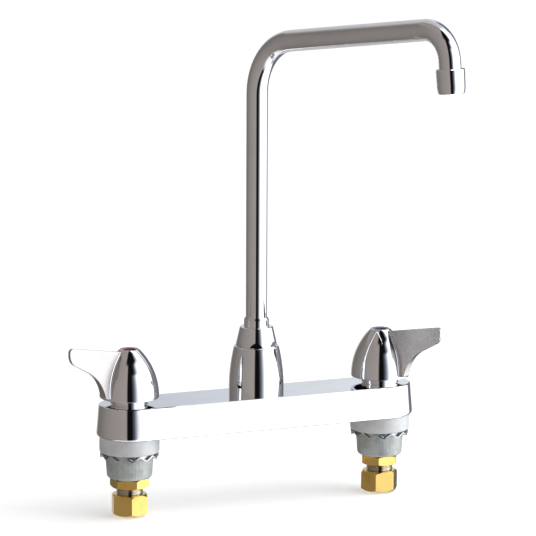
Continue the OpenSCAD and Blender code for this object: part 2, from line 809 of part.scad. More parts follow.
module handle(turn) {
    socket = stem_square + 2 * drop_gap;
    color(chrome) rotate([0, 0, turn]) difference() {
        union() {
            bell_outside();
            wing();
        }
        bell_hollow();
        translate([-socket / 2, -socket / 2, boss_z - 1]) cube([socket, socket, socket_top_z - boss_z + 1]);
        translate([0, 0, boss_z]) cylinder(r = screw_r + 0.3, h = bell_height);
        translate([0, 0, screw_seat_z]) cylinder(r = screw_well_r, h = bell_height);
        translate([0, 0, bell_top_z - index_t]) cylinder(r = index_r + drop_gap, h = bell_height);
    }
}

module handle_screw() {
    color(steel) difference() {
        union() {
            translate([0, 0, screw_seat_z]) cylinder(r = screw_head_r, h = screw_head_h);
            translate([0, 0, screw_seat_z - screw_length]) cylinder(r = screw_r, h = screw_length + eps);
        }
        translate([0, 0, screw_seat_z + screw_head_h - 2]) hexagon(screw_socket, 3, 0);
    }
}

module index_ring(tint) {
    color(tint) translate([0, 0, bell_top_z - index_t]) ring(index_r, index_hole_r, index_t);
}

// Spout, with its arm along +X before it is turned

module in_spout_place() {
    rotate([0, 0, spout_turn]) children();
}

// Moves children from the origin, hanging down -Z, to the drop's axis with its end at the outlet
module at_outlet() {
    translate([spout_reach, 0, outlet_z]) rotate([0, -drop_lean, 0]) children();
}

// The tube's round section, drawn in by thin on both faces
module tube_section(thin = 0) {
    difference() {
        circle(r = tube_r - thin);
        circle(r = tube_r - tube_wall + thin);
    }
}

// One bend of the tube: starts at the origin going up and turns towards +X.
// Both its ends are lapped into the straights
module tube_bend(bend_r, turn) {
    lap = bend_lap / bend_r * 180 / PI;
    translate([bend_r, 0, 0]) rotate([90, 0, 0]) rotate([0, 0, 180 - turn - lap])
        rotate_extrude(angle = turn + 2 * lap) translate([bend_r, 0]) tube_section(bend_draw);
}

// One straight of the tube, up from the origin
module tube_straight(length) {
    linear_extrude(length) tube_section();
}

module spout_tube() {
    $fn = 60;
    riser_top_z = arm_corner_z - riser_tangent;
    drop_end = drop_length - outlet_height + outlet_grip;
    color(chrome) in_spout_place() {
        translate([0, 0, tube_foot_z]) tube_straight(riser_top_z - tube_foot_z);
        translate([0, 0, riser_top_z]) tube_bend(riser_bend_r, riser_bend);
        translate([0, 0, arm_corner_z]) rotate([0, riser_bend, 0]) {
            translate([0, 0, riser_tangent]) tube_straight(arm_length - riser_tangent - outlet_tangent);
            translate([0, 0, arm_length - outlet_tangent]) tube_bend(outlet_bend_r, outlet_bend);
            translate([0, 0, arm_length]) rotate([0, outlet_bend, 0]) translate([0, 0, outlet_tangent])
                tube_straight(drop_end - outlet_tangent);
        }
    }
}

module swivel_sleeve() {
    bore = tube_r - tube_wall;
    seat = tube_r + thread_gap;
    groove_r = barrel_r - 2 * swivel_seal_r;
    groove_h = 2 * swivel_seal_r + 0.1;
    outline = [
        [bore, barrel_z], [barrel_r, barrel_z], [barrel_r, flange_z], [flange_r, flange_z],
        [flange_r, friction_z], [sleeve_r, friction_z], [sleeve_r, sleeve_top_z - 1.6],
        [seat + 0.3, sleeve_top_z], [seat, sleeve_top_z], [seat, tube_foot_z], [bore, tube_foot_z]
    ];
    color(chrome) in_spout_place() difference() {
        rotate_extrude() polygon(outline);
        for (z = swivel_seal_heights)
            translate([0, 0, z - groove_h / 2]) ring(barrel_r + 1, groove_r, groove_h);
    }
}

module swivel_seals() {
    color(black_rubber) for (z = swivel_seal_heights) translate([0, 0, z])
        o_ring(barrel_r - swivel_seal_r, swivel_seal_r - seal_ease);
}

module outlet_shell() {
    taper_z = outlet_height * 0.3;
    bulge = outlet_r - outlet_rim_r;
    outline = concat(
        [[outlet_mouth_r, 0], [outlet_rim_r - 0.3, 0]],
        [for (i = [0:6]) [outlet_rim_r + bulge * sin(15 * i) * 0.8, 0.3 + (taper_z - 0.3) * i / 6]],
        [[outlet_r, outlet_height - 0.6], [outlet_r - 0.6, outlet_height]],
        [[tube_r + thread_gap, outlet_height], [tube_r + thread_gap, outlet_height - outlet_grip]],
        [[outlet_chamber_r, outlet_height - outlet_grip], [outlet_chamber_r, outlet_lip]],
        [[outlet_mouth_r, outlet_lip]]
    );
    color(chrome) in_spout_place() at_outlet() rotate_extrude() polygon(outline);
}

module outlet_gasket() {
    color(black_rubber) in_spout_place() at_outlet()
        translate([0, 0, outlet_height - outlet_grip - outlet_gasket_t])
            ring(outlet_chamber_r - drop_gap, tube_r - tube_wall, outlet_gasket_t);
}

module flow_straightener() {
    low = outlet_lip + screen_t;
    high = outlet_height - outlet_grip - outlet_gasket_t;
    hole_r = 0.9;
    color(white_plastic) in_spout_place() at_outlet() translate([0, 0, low]) difference() {
        cylinder(r = outlet_chamber_r - drop_gap, h = high - low);
        translate([0, 0, -eps]) cylinder(r = outlet_mouth_r - 0.6, h = (high - low) * 0.6);
        for (row = [[1, 0], [6, 2.5], [12, 5]])
            for (i = [0:row[0] - 1])
                rotate([0, 0, 360 * i / row[0]]) translate([row[1], 0, -1])
                    cylinder(r = hole_r, h = high - low + 2, $fn = 24);
    }
}

module outlet_screen() {
    hole = screen_pitch - screen_wire;
    reach = outlet_mouth_r - screen_pitch * 0.6;
    steps = floor(reach / screen_pitch);
    color(steel) in_spout_place() at_outlet() translate([0, 0, outlet_lip]) difference() {
        cylinder(r = outlet_chamber_r - drop_gap, h = screen_t);
        for (i = [-steps:steps])
            for (j = [-steps:steps])
                if (norm([i, j]) * screen_pitch < reach)
                    translate([i * screen_pitch - hole / 2, j * screen_pitch - hole / 2, -1])
                        cube([hole, hole, screen_t + 2]);
    }
}

deck_body();
spout_nut();
swivel_washer();
friction_ring();
at_hot() shank();  // hot_shank
at_cold() shank();  // cold_shank
at_hot() deck_washer();  // hot_deck_washer
at_cold() deck_washer();  // cold_deck_washer
at_hot() lock_washer();  // hot_lock_washer
at_cold() lock_washer();  // cold_lock_washer
at_hot() locknut();  // hot_locknut
at_cold() locknut();  // cold_locknut
at_hot() inlet_adapter(hot_adapter_turn);  // hot_inlet_adapter
at_cold() inlet_adapter(cold_adapter_turn);  // cold_inlet_adapter
at_hot() inlet_washer();  // hot_inlet_washer
at_cold() inlet_washer();  // cold_inlet_washer
at_hot() coupling_nut(hot_coupling_turn);  // hot_coupling_nut
at_cold() coupling_nut(cold_coupling_turn);  // cold_coupling_nut
at_hot() compression_sleeve();  // hot_compression_sleeve
at_cold() compression_sleeve();  // cold_compression_sleeve
at_hot() seat_seal();  // hot_seat_seal
at_cold() seat_seal();  // cold_seat_seal
at_hot() cartridge_case();  // hot_cartridge_case
at_cold() cartridge_case();  // cold_cartridge_case
at_hot() case_seal();  // hot_case_seal
at_cold() case_seal();  // cold_case_seal
at_hot() ceramic_disc(lower_disc_z, 0);  // hot_lower_disc
at_cold() ceramic_disc(lower_disc_z, 0);  // cold_lower_disc
at_hot() bonnet();  // hot_bonnet
at_cold() bonnet();  // cold_bonnet
at_hot() ceramic_disc(upper_disc_z, 90 + hot_turn);  // hot_upper_disc
at_cold() ceramic_disc(upper_disc_z, 90 - cold_turn);  // cold_upper_disc
at_hot() valve_stem(hot_angle);  // hot_valve_stem
at_cold() valve_stem(cold_angle);  // cold_valve_stem
at_hot() stem_seal();  // hot_stem_seal
at_cold() stem_seal();  // cold_stem_seal
at_hot() stem_clip(hot_angle);  // hot_stem_clip
at_cold() stem_clip(cold_angle);  // cold_stem_clip
at_hot() handle(hot_angle);  // hot_handle
at_cold() handle(cold_angle);  // cold_handle
at_hot() handle_screw();  // hot_handle_screw
at_cold() handle_screw();  // cold_handle_screw
at_hot() index_ring(hot_red);  // hot_index_ring
at_cold() index_ring(cold_blue);  // cold_index_ring
spout_tube();
swivel_sleeve();
swivel_seals();
outlet_shell();
outlet_gasket();
flow_straightener();
outlet_screen();
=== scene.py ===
"""Dresses the deck-mounted sink faucet: chrome, brass and zinc finishes, the fine
detail of its fittings, the studio that its chrome mirrors, and the camera.

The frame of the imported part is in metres: the origin lies midway between the two
shanks on the deck plane, +Z up, +X to the cold side, -Y to the user. The pieces'
sizes below are in millimetres and degrees; a mesh becomes metres when it is finished.
"""

import json
import logging
import math
from dataclasses import dataclass, field
from enum import Enum
from typing import Callable, Iterable, Sequence

import bmesh
import bpy
from mathutils import Matrix, Vector

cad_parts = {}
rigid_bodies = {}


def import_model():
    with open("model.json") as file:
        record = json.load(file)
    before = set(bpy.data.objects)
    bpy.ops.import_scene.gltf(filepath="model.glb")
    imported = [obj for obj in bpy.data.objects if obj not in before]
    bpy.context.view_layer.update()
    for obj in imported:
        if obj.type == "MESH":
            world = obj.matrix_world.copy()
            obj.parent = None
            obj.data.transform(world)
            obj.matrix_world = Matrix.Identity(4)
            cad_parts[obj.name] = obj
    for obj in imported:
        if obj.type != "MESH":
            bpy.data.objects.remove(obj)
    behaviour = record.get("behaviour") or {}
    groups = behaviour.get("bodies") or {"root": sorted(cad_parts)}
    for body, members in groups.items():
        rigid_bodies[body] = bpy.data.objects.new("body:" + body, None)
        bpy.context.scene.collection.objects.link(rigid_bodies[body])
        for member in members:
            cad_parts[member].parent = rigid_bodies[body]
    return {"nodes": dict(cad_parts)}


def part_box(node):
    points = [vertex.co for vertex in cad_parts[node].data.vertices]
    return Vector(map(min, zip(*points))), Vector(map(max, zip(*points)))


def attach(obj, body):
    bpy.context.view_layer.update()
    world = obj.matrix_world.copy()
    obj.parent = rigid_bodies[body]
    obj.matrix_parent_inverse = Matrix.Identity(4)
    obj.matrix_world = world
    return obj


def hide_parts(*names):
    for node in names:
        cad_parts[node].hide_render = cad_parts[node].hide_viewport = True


LOG = logging.getLogger("faucet")

Colour = tuple[float, float, float, float]
Mesh = bmesh.types.BMesh
Node = bpy.types.Node
Point = tuple[float, float]
Socket = bpy.types.NodeSocket
Sockets = dict[str, Socket]

MM = 0.001
WELD = 1e-5
CARVED_WELD = 1e-4
ON_PLANE = 1e-4
FULL_TURN = 2 * math.pi

VALVE_CENTRES = 203.2
HOT_WING_TURN = 180 + 21.5
COLD_WING_TURN = -65.5
BASE = "faucet_base"


class Side(Enum):
    """The two halves of the faucet."""

    HOT = "hot"
    COLD = "cold"

    @property
    def x_mm(self) -> float:
        """Place of this side's valve along X."""
        return (-0.5 if self is Side.HOT else 0.5) * VALVE_CENTRES

    @property
    def body(self) -> str:
        """The moving body that carries this side's handle."""
        return f"{self.value}_handle_set"

    @property
    def wing_turn(self) -> float:
        """Direction of this side's wing at rest, from +X."""
        return HOT_WING_TURN if self is Side.HOT else COLD_WING_TURN


# Shader nodes

def linear(*srgb: int) -> Colour:
    """Turns an 8-bit colour into a linear one with full alpha.

    Args:
        srgb: Red, green and blue from 0 to 255.

    Returns:
        The linear colour.
    """
    def one(v: int) -> float:
        """One channel, by the sRGB curve."""
        c = v / 255
        return c / 12.92 if c <= 0.04045 else ((c + 0.055) / 1.055) ** 2.4
    return tuple(one(v) for v in srgb) + (1.0,)


WHITE = (1.0, 1.0, 1.0, 1.0)


def cleared(owner: bpy.types.Material | bpy.types.World) -> bpy.types.NodeTree:
    """Empties the node tree of a material or world and returns it."""
    owner.use_nodes = True
    owner.node_tree.nodes.clear()
    return owner.node_tree


@dataclass
class Wiring:
    """Adds and joins shader nodes in one tree."""

    tree: bpy.types.NodeTree

    def feed(self, socket: Socket, value: object) -> None:
        """Links an output socket to an input, or sets the input's value.

        Args:
            socket: The input.
            value: An output socket, or a plain value.
        """
        if isinstance(value, Socket):
            self.tree.links.new(value, socket)
        else:
            socket.default_value = value

    def fill(self, node: Node, **inputs: object) -> Node:
        """Feeds a node's inputs by name.

        Args:
            node: The node.
            inputs: Values or output sockets by input name, with spaces as underscores.

        Returns:
            The same node.
        """
        for name, value in inputs.items():
            self.feed(node.inputs[name.replace("_", " ")], value)
        return node

    def add(self, kind: str, **inputs: object) -> Node:
        """Adds a node and feeds its inputs by name."""
        return self.fill(self.tree.nodes.new(kind), **inputs)

    def row(self, kind: str, *values: object) -> Node:
        """Adds a node and feeds its inputs in order.

        Args:
            kind: The node's type name.
            values: Values or output sockets.

        Returns:
            The new node.
        """
        node = self.tree.nodes.new(kind)
        for socket, value in zip(node.inputs, values):
            self.feed(socket, value)
        return node

    def math(self, operation: str, *values: object, clamp: bool = False) -> Socket:
        """Adds a Math node.

        Args:
            operation: The node's operation.
            values: Its inputs in order, as numbers or sockets.
            clamp: Whether the result is held between 0 and 1.

        Returns:
            Its output.
        """
        node = self.row("ShaderNodeMath", *values)
        node.operation = operation
        node.use_clamp = clamp
        return node.outputs[0]

    def mix(self, factor: object, a: object, b: object) -> Socket:
        """Mixes two colours.

        Args:
            factor: How much of the second colour shows.
            a: The first colour.
            b: The second colour.

        Returns:
            The mixed colour.
        """
        node = self.tree.nodes.new("ShaderNodeMix")
        node.data_type = "RGBA"
        for place, value in ((0, factor), (6, a), (7, b)):
            self.feed(node.inputs[place], value)
        return node.outputs[2]

    def either(self, switch: Socket, off: Node, on: Node) -> Node:
        """Shows one of two shaders.

        Args:
            switch: 0 for the first shader and 1 for the second.
            off: The first shader.
            on: The second shader.

        Returns:
            The node that mixes them.
        """
        return self.row("ShaderNodeMixShader", switch, off.outputs[0], on.outputs[0])

    def ramp(self, factor: object, stops: Sequence[tuple[float, Colour]]) -> Socket:
        """Adds a linear colour ramp.

        Args:
            factor: What runs along the ramp.
            stops: Places from 0 to 1 and their colours.

        Returns:
            The ramp's colour.
        """
        node = self.row("ShaderNodeValToRGB", factor)
        elements = node.color_ramp.elements
        while len(elements) < len(stops):
            elements.new(1.0)
        for element, (place, colour) in zip(elements, stops):
            element.position = place
            element.color = colour
        return node.outputs[0]

    def span(self, value: object, low: float, high: float,
             to_low: float = 0.0, to_high: float = 1.0) -> Socket:
        """Maps a value smoothly from one range to another.

        Args:
            value: The value.
            low: Start of its range.
            high: End of its range.
            to_low: Result at the start.
            to_high: Result at the end.

        Returns:
            The mapped value.
        """
        node = self.row("ShaderNodeMapRange", value, low, high, to_low, to_high)
        node.interpolation_type = "SMOOTHSTEP"
        return node.outputs[0]

    def noise(self, where: Socket, scale: object, detail: float, roughness: float = 0.5) -> Socket:
        """Adds a noise texture.

        Args:
            where: Its coordinates.
            scale: Waves per metre.
            detail: Octaves.
            roughness: Strength of the finer octaves.

        Returns:
            The noise value.
        """
        return self.add("ShaderNodeTexNoise", Vector=where, Scale=scale, Detail=detail,
                        Roughness=roughness).outputs["Fac"]

    def stretched(self, where: Socket, scale: tuple[float, float, float]) -> Socket:
        """Coordinates that are scaled along each axis."""
        return self.add("ShaderNodeMapping", Vector=where, Scale=scale).outputs[0]


@dataclass
class Surface(Wiring):
    """The nodes of one material: its shader and the coordinates that its patterns read."""

    shader: Node = field(init=False)
    where: Socket = field(init=False)

    def __post_init__(self) -> None:
        """Starts the tree with a Principled shader, its output and Object coordinates."""
        self.shader = self.add("ShaderNodeBsdfPrincipled")
        self.add("ShaderNodeOutputMaterial", Surface=self.shader.outputs[0])
        self.where = self.add("ShaderNodeTexCoord").outputs["Object"]

    def skin(self, colour: Socket, roughness: Socket, height: Socket, depth: float,
             strength: float = 1.0, **fixed: float) -> None:
        """Feeds the shader.

        Args:
            colour: Its base colour.
            roughness: Its roughness.
            height: The relief, from 0 to 1.
            depth: The relief's full depth in millimetres.
            strength: How strongly the relief tilts the surface.
            fixed: Numbers that are the same all over, by the shader's socket name.
        """
        bump = self.add("ShaderNodeBump", Height=height, Distance=depth * MM, Strength=strength)
        self.fill(self.shader, Base_Color=colour, Roughness=roughness, Normal=bump.outputs[0],
                  **fixed)


# Effects that several finishes share

class Carries(Enum):
    """What a socket of an effect carries."""

    NUMBER = "NodeSocketFloat"
    COLOUR = "NodeSocketColor"
    PLACE = "NodeSocketVector"


@dataclass(frozen=True)
class Effect:
    """A shader node group with named inputs and outputs."""

    name: str
    inputs: dict[str, Carries]
    outputs: dict[str, Carries]
    wire: Callable[[Wiring, Sockets, Sockets], None]

    def group(self) -> bpy.types.NodeTree:
        """Builds the group once and returns it."""
        tree = bpy.data.node_groups.get(self.name)
        if tree:
            return tree
        tree = bpy.data.node_groups.new(self.name, "ShaderNodeTree")
        for way, sockets in (("INPUT", self.inputs), ("OUTPUT", self.outputs)):
            for name, kind in sockets.items():
                tree.interface.new_socket(name, in_out=way, socket_type=kind.value)
        w = Wiring(tree)
        start = w.add("NodeGroupInput")
        end = w.add("NodeGroupOutput")
        self.wire(w, {s.name: s for s in start.outputs}, {s.name: s for s in end.inputs})
        return tree

    def place(self, surface: Surface, **inputs: object) -> Sockets:
        """Places the group in a material, on that material's coordinates.

        Args:
            surface: The material's wiring.
            inputs: Values by input name.

        Returns:
            The group's outputs by name.
        """
        node = surface.tree.nodes.new("ShaderNodeGroup")
        node.node_tree = self.group()
        surface.fill(node, Where=surface.where, **inputs)
        return {s.name: s for s in node.outputs}


def wire_polish(w: Wiring, given: Sockets, out: Sockets) -> None:
    """Fine scratches, smudges and a faint waviness of a polished or rubbed face.

    Args:
        w: The group's wiring.
        given: The group's inputs.
        out: The group's outputs.
    """
    where = given["Where"]
    haze = w.span(w.noise(where, scale=38.0, detail=4.0, roughness=0.6), 0.42, 0.72)
    along = w.stretched(where, (260.0, 260.0, 4200.0))
    lines = w.span(w.noise(along, scale=1.0, detail=2.0, roughness=0.7), 0.56, 0.74)
    wear = w.math("MAXIMUM", w.math("MULTIPLY", haze, given["Smudge"]),
                  w.math("MULTIPLY", lines, given["Scratch"]))
    wave = w.noise(where, scale=21.0, detail=1.0, roughness=0.3)
    fine = w.noise(where, scale=2600.0, detail=2.0, roughness=0.6)
    w.feed(out["Roughness"], w.math("ADD", given["Base"], wear, clamp=True))
    w.feed(out["Height"], w.math("ADD", wave, w.math("MULTIPLY", fine, 0.02)))
    w.feed(out["Mask"], haze)


def wire_cast(w: Wiring, given: Sockets, out: Sockets) -> None:
    """Cloudy tone and pitted skin of a cast or moulded face.

    Args:
        w: The group's wiring.
        given: The group's inputs.
        out: The group's outputs.
    """
    where = given["Where"]
    cloud = w.noise(where, scale=90.0, detail=5.0, roughness=0.62)
    grain = w.noise(where, scale=given["Grain"], detail=4.0, roughness=0.6)
    tone = w.math("ADD", w.math("MULTIPLY", w.span(cloud, 0.3, 0.7), 0.7),
                  w.math("MULTIPLY", grain, 0.3))
    uneven = w.math("MULTIPLY", cloud, given["Spread"])
    w.feed(out["Colour"], w.mix(tone, given["Dark"], given["Light"]))
    w.feed(out["Roughness"], w.math("ADD", given["Base"], uneven, clamp=True))
    w.feed(out["Height"], w.math("ADD", grain, w.math("MULTIPLY", cloud, 0.6)))


def wire_lathe(w: Wiring, given: Sockets, out: Sockets) -> None:
    """Fine rings that a turning tool leaves across a piece's axis.

    Args:
        w: The group's wiring.
        given: The group's inputs.
        out: The group's outputs.
    """
    where = given["Where"]
    height = w.add("ShaderNodeSeparateXYZ", Vector=where).outputs[2]
    wobble = w.noise(w.stretched(where, (40.0, 40.0, 1.0)), scale=1.0, detail=2.0)
    place = w.math("ADD", height, w.math("MULTIPLY", wobble, 0.08 * MM))
    wave = w.math("SINE", w.math("MULTIPLY", place, given["Rings"]))
    w.feed(out["Height"], w.math("MULTIPLY", w.math("ADD", wave, 1.0), 0.5))


NUMBER, COLOUR, PLACE = Carries
POLISH = Effect(
    "polish_wear",
    {"Where": PLACE, "Base": NUMBER, "Smudge": NUMBER, "Scratch": NUMBER},
    {"Roughness": NUMBER, "Height": NUMBER, "Mask": NUMBER},
    wire_polish,
)
CAST = Effect(
    "cast_skin",
    {"Where": PLACE, "Dark": COLOUR, "Light": COLOUR, "Grain": NUMBER, "Base": NUMBER,
     "Spread": NUMBER},
    {"Colour": COLOUR, "Roughness": NUMBER, "Height": NUMBER},
    wire_cast,
)
LATHE = Effect("lathe_rings", {"Where": PLACE, "Rings": NUMBER}, {"Height": NUMBER}, wire_lathe)


# Finishes

@dataclass(frozen=True)
class Finish:
    """A material made of shader nodes, built once and shared."""

    name: str

    def material(self) -> bpy.types.Material:
        """Returns the finish's material, made on first use."""
        made = bpy.data.materials.get(self.name)
        if not made:
            made = bpy.data.materials.new(self.name)
            self.wire(Surface(cleared(made)))
        return made

    def wire(self, surface: Surface) -> None:
        """Feeds the shader; each kind of finish has its own way."""
        raise NotImplementedError


@dataclass(frozen=True)
class Polished(Finish):
    """Chrome plate and other polished metal."""

    tint: Colour = linear(240, 241, 243)
    shade: Colour = linear(234, 235, 238)
    base: float = 0.03
    smudge: float = 0.03
    scratch: float = 0.02
    waviness: float = 0.03

    def wire(self, surface: Surface) -> None:
        """Mirror metal with faint smudges, hairlines and a slight waviness.

        Args:
            surface: The material's wiring.
        """
        worn = POLISH.place(surface, Base=self.base, Smudge=self.smudge, Scratch=self.scratch)
        colour = surface.mix(worn["Mask"], self.tint, self.shade)
        surface.skin(colour, worn["Roughness"], worn["Height"], self.waviness, Metallic=1.0)


@dataclass(frozen=True)
class TurnedMetal(Finish):
    """Bare metal as it comes from the lathe."""

    tint: Colour = linear(242, 208, 122)
    stain: Colour = linear(222, 178, 92)
    base: float = 0.08
    smudge: float = 0.08
    scratch: float = 0.06
    stained: float = 0.5
    rings: float = 30000.0
    depth: float = 0.01

    def wire(self, surface: Surface) -> None:
        """Tool rings over metal that has begun to tarnish in patches.

        Args:
            surface: The material's wiring.
        """
        worn = POLISH.place(surface, Base=self.base, Smudge=self.smudge, Scratch=self.scratch)
        turned_face = LATHE.place(surface, Rings=self.rings)
        patches = surface.noise(surface.where, scale=120.0, detail=4.0, roughness=0.6)
        tarnish = surface.math("MULTIPLY", surface.span(patches, 0.4, 0.75), self.stained)
        surface.skin(surface.mix(tarnish, self.tint, self.stain), worn["Roughness"],
                     turned_face["Height"], self.depth, strength=0.5, Metallic=1.0)


@dataclass(frozen=True)
class Skinned(Finish):
    """Cast zinc, plastic, rubber, fibre, ceramic and enamel."""

    dark: Colour
    light: Colour
    base: float
    spread: float = 0.12
    grain: float = 2200.0
    depth: float = 0.02
    metallic: float = 0.0
    coat: float = 0.0
    through: float = 0.0

    def wire(self, surface: Surface) -> None:
        """Cloudy stuff with a fine pitted skin; `through` lets light into it.

        Args:
            surface: The material's wiring.
        """
        skin = CAST.place(surface, Dark=self.dark, Light=self.light, Grain=self.grain,
                          Base=self.base, Spread=self.spread)
        surface.skin(skin["Colour"], skin["Roughness"], skin["Height"], self.depth,
                     Metallic=self.metallic, Coat_Weight=self.coat,
                     Subsurface_Weight=self.through, Subsurface_Scale=MM)


CHROME = Polished("chrome_plate")
CAST_CHROME = Polished("chrome_on_casting", smudge=0.012)
# The wing wears the same chrome plate as the bell, but its tint is darker: painted shade that
# makes the wing's reflections read dimmer than the bell's.
SHADED_WING_CHROME = Polished("chrome_on_wing_painted_shade", linear(196, 192, 190), linear(191, 187, 185),
                       base=0.27, smudge=0.015, scratch=0.01)
BRIGHT_STEEL = Polished("rubbed_steel", linear(226, 227, 229), linear(204, 206, 208),
                        base=0.2, smudge=0.08, scratch=0.08)
BRASS = TurnedMetal("raw_brass")
NECK_BRASS = TurnedMetal("plated_brass", linear(208, 208, 198), linear(180, 176, 156), base=0.1)
SATIN_ZINC = Skinned("plated_zinc_satin", linear(222, 224, 226), linear(240, 242, 244),
                     base=0.55, grain=1500.0, metallic=0.35)
DULL_ZINC = Skinned("cast_zinc_dull", linear(164, 171, 167), linear(218, 224, 222),
                    base=0.44, spread=0.16, grain=1100.0, depth=0.05, metallic=0.38)
RUBBER = Skinned("black_rubber", linear(22, 22, 23), linear(38, 38, 40), base=0.55)
WHITE_PLASTIC = Skinned("white_acetal", linear(214, 214, 208), linear(240, 240, 236),
                        base=0.38, through=0.1)
CERAMIC = Skinned("lapped_ceramic", linear(232, 230, 222), linear(246, 245, 240),
                  base=0.12, coat=0.3)
FIBRE = Skinned("red_fibre", linear(96, 44, 34), linear(140, 74, 56),
                base=0.7, grain=900.0, depth=0.08)
HOT_MARK = Skinned("hot_red", linear(148, 74, 76), linear(170, 104, 106), base=0.2, coat=0.4)
COLD_MARK = Skinned("cold_blue", linear(84, 92, 118), linear(112, 120, 144), base=0.2, coat=0.4)


# Mesh helpers

def only(geom: Iterable, kind: type) -> list:
    """Those parts of some geometry that are vertices, edges or faces."""
    return [part for part in geom if isinstance(part, kind)]


def outline_edges(bm: Mesh, points: Iterable[Point]) -> list:
    """Draws a loop of radii and heights as edges in the XZ plane.

    Args:
        bm: The mesh.
        points: Radius and height of each point.

    Returns:
        The new vertices and edges.
    """
    verts = [bm.verts.new((r, 0.0, z)) for r, z in points]
    return verts + [bm.edges.new(pair) for pair in zip(verts, verts[1:] + verts[:1])]


def turned(points: Sequence[Point], steps: int) -> Mesh:
    """Spins a loop round +Z into a ring.

    Args:
        points: Radius and height of each point.
        steps: Facets round the axis.

    Returns:
        The ring.
    """
    bm = bmesh.new()
    bmesh.ops.spin(bm, geom=outline_edges(bm, points), cent=(0, 0, 0), axis=(0, 0, 1),
                   angle=FULL_TURN, steps=steps, use_merge=True)
    bmesh.ops.remove_doubles(bm, verts=bm.verts, dist=WELD)
    bmesh.ops.recalc_face_normals(bm, faces=bm.faces)
    return bm


def softened(corners: Sequence[tuple[float, float, float]], steps: int = 4) -> list[Point]:
    """Makes an outline from corners, each with its own rounding.

    Args:
        corners: Radius, height and rounding of each corner, round the loop.
        steps: Segments of each arc.

    Returns:
        The outline's points.
    """
    points: list[Point] = []
    for i, (r, z, bend) in enumerate(corners):
        if not bend:
            points.append((r, z))
            continue
        c = Vector((r, z))
        u = (Vector(corners[i - 1][:2]) - c).normalized()
        v = (Vector(corners[(i + 1) % len(corners)][:2]) - c).normalized()
        half = u.angle(v) / 2
        reach = bend / math.tan(half)
        centre = c + (u + v).normalized() * (bend / math.sin(half))
        start, end = c + u * reach - centre, c + v * reach - centre
        sweep = math.atan2(start.x * end.y - start.y * end.x, start.dot(end))
        for k in range(steps + 1):
            a = sweep * k / steps
            points.append((centre.x + start.x * math.cos(a) - start.y * math.sin(a),
                           centre.y + start.x * math.sin(a) + start.y * math.cos(a)))
    return points


def arc(cx: float, cz: float, r: float, start: float, end: float, steps: int) -> list[Point]:
    """Points along an arc.

    Args:
        cx: Radius or reach of the centre.
        cz: Height of the centre.
        r: The arc's radius.
        start: Where it starts, in degrees.
        end: Where it ends, in degrees.
        steps: Its segments.

    Returns:
        The points.
    """
    angles = [math.radians(start + (end - start) * i / steps) for i in range(steps + 1)]
    return [(cx + r * math.cos(a), cz + r * math.sin(a)) for a in angles]


def leaning_radius(reach: float, height: float) -> float:
    """Radius of an arc that leaves the vertical and leans by a reach over a height."""
    return (reach * reach + height * height) / (2 * reach)


def ogive(r0: float, z0: float, r1: float, z1: float, steps: int) -> list[Point]:
    """Points up an arc that leaves the vertical at its foot.

    Args:
        r0: Radius at the foot.
        z0: Height of the foot.
        r1: Radius at the top.
        z1: Height of the top.
        steps: Its segments.

    Returns:
        The points.
    """
    rho = leaning_radius(r0 - r1, z1 - z0)
    return arc(r0 - rho, z0, rho, 0, math.degrees(math.asin((z1 - z0) / rho)), steps)


def spun(bm: Mesh, degrees: float) -> None:
    """Turns a mesh about +Z."""
    bmesh.ops.rotate(bm, cent=(0, 0, 0), matrix=Matrix.Rotation(math.radians(degrees), 3, "Z"),
                     verts=bm.verts)


def thickened(bm: Mesh, way: tuple[float, float, float]) -> None:
    """Extrudes all faces of a flat mesh along a vector."""
    made = bmesh.ops.extrude_face_region(bm, geom=bm.faces[:])
    bmesh.ops.translate(bm, vec=way, verts=only(made["geom"], bmesh.types.BMVert))


def bevelled(bm: Mesh, edges: list, width: float, segments: int, clamp: bool = False) -> None:
    """Rounds edges.

    Args:
        bm: The mesh.
        edges: The edges.
        width: Width of the rounding.
        segments: Its segments.
        clamp: Whether neighbouring roundings are kept from crossing.
    """
    bmesh.ops.bevel(bm, geom=edges, offset=width, offset_type="OFFSET", affect="EDGES",
                    segments=segments, profile=0.5, material=-1, clamp_overlap=clamp)
    bmesh.ops.recalc_face_normals(bm, faces=bm.faces)


def sliced(bm: Mesh, place: tuple[float, float, float], normal: tuple[float, float, float],
           clear: bool = False) -> None:
    """Cuts all faces along a plane.

    Args:
        bm: The mesh.
        place: A point of the plane.
        normal: The plane's direction.
        clear: Whether what lies beyond the plane goes.
    """
    bmesh.ops.bisect_plane(bm, geom=bm.verts[:] + bm.edges[:] + bm.faces[:], dist=ON_PLANE,
                           plane_co=place, plane_no=normal, clear_outer=clear)


def prism(across: float, low: float, high: float, turn: float, edge: float) -> Mesh:
    """Makes an upright hexagonal prism with softened upright edges.

    Args:
        across: Width across the flats.
        low: Height of its foot.
        high: Height of its top.
        turn: Direction of a corner, in degrees.
        edge: Width of the softened edges.

    Returns:
        The prism.
    """
    sides = 6
    bm = bmesh.new()
    bmesh.ops.create_circle(bm, cap_ends=True, segments=sides,
                            radius=across / 2 / math.cos(math.pi / sides))
    corner = bm.verts[:][0].co.copy()
    thickened(bm, (0, 0, high - low))
    bmesh.ops.translate(bm, vec=(0, 0, low), verts=bm.verts)
    upright = [e for e in bm.edges if abs(e.verts[0].co.z - e.verts[1].co.z) > ON_PLANE]
    bevelled(bm, upright, edge, segments=3)
    spun(bm, turn - math.degrees(math.atan2(corner.y, corner.x)))
    return bm


def meshed(name: str, bm: Mesh) -> bpy.types.Mesh:
    """Writes a shaped mesh to a new mesh block and frees it."""
    mesh = bpy.data.meshes.new(name)
    bm.to_mesh(mesh)
    bm.free()
    return mesh


def linked(name: str, data: bpy.types.ID) -> bpy.types.Object:
    """Makes an object of its data and puts it in the scene."""
    obj = bpy.data.objects.new(name, data)
    bpy.context.scene.collection.objects.link(obj)
    return obj


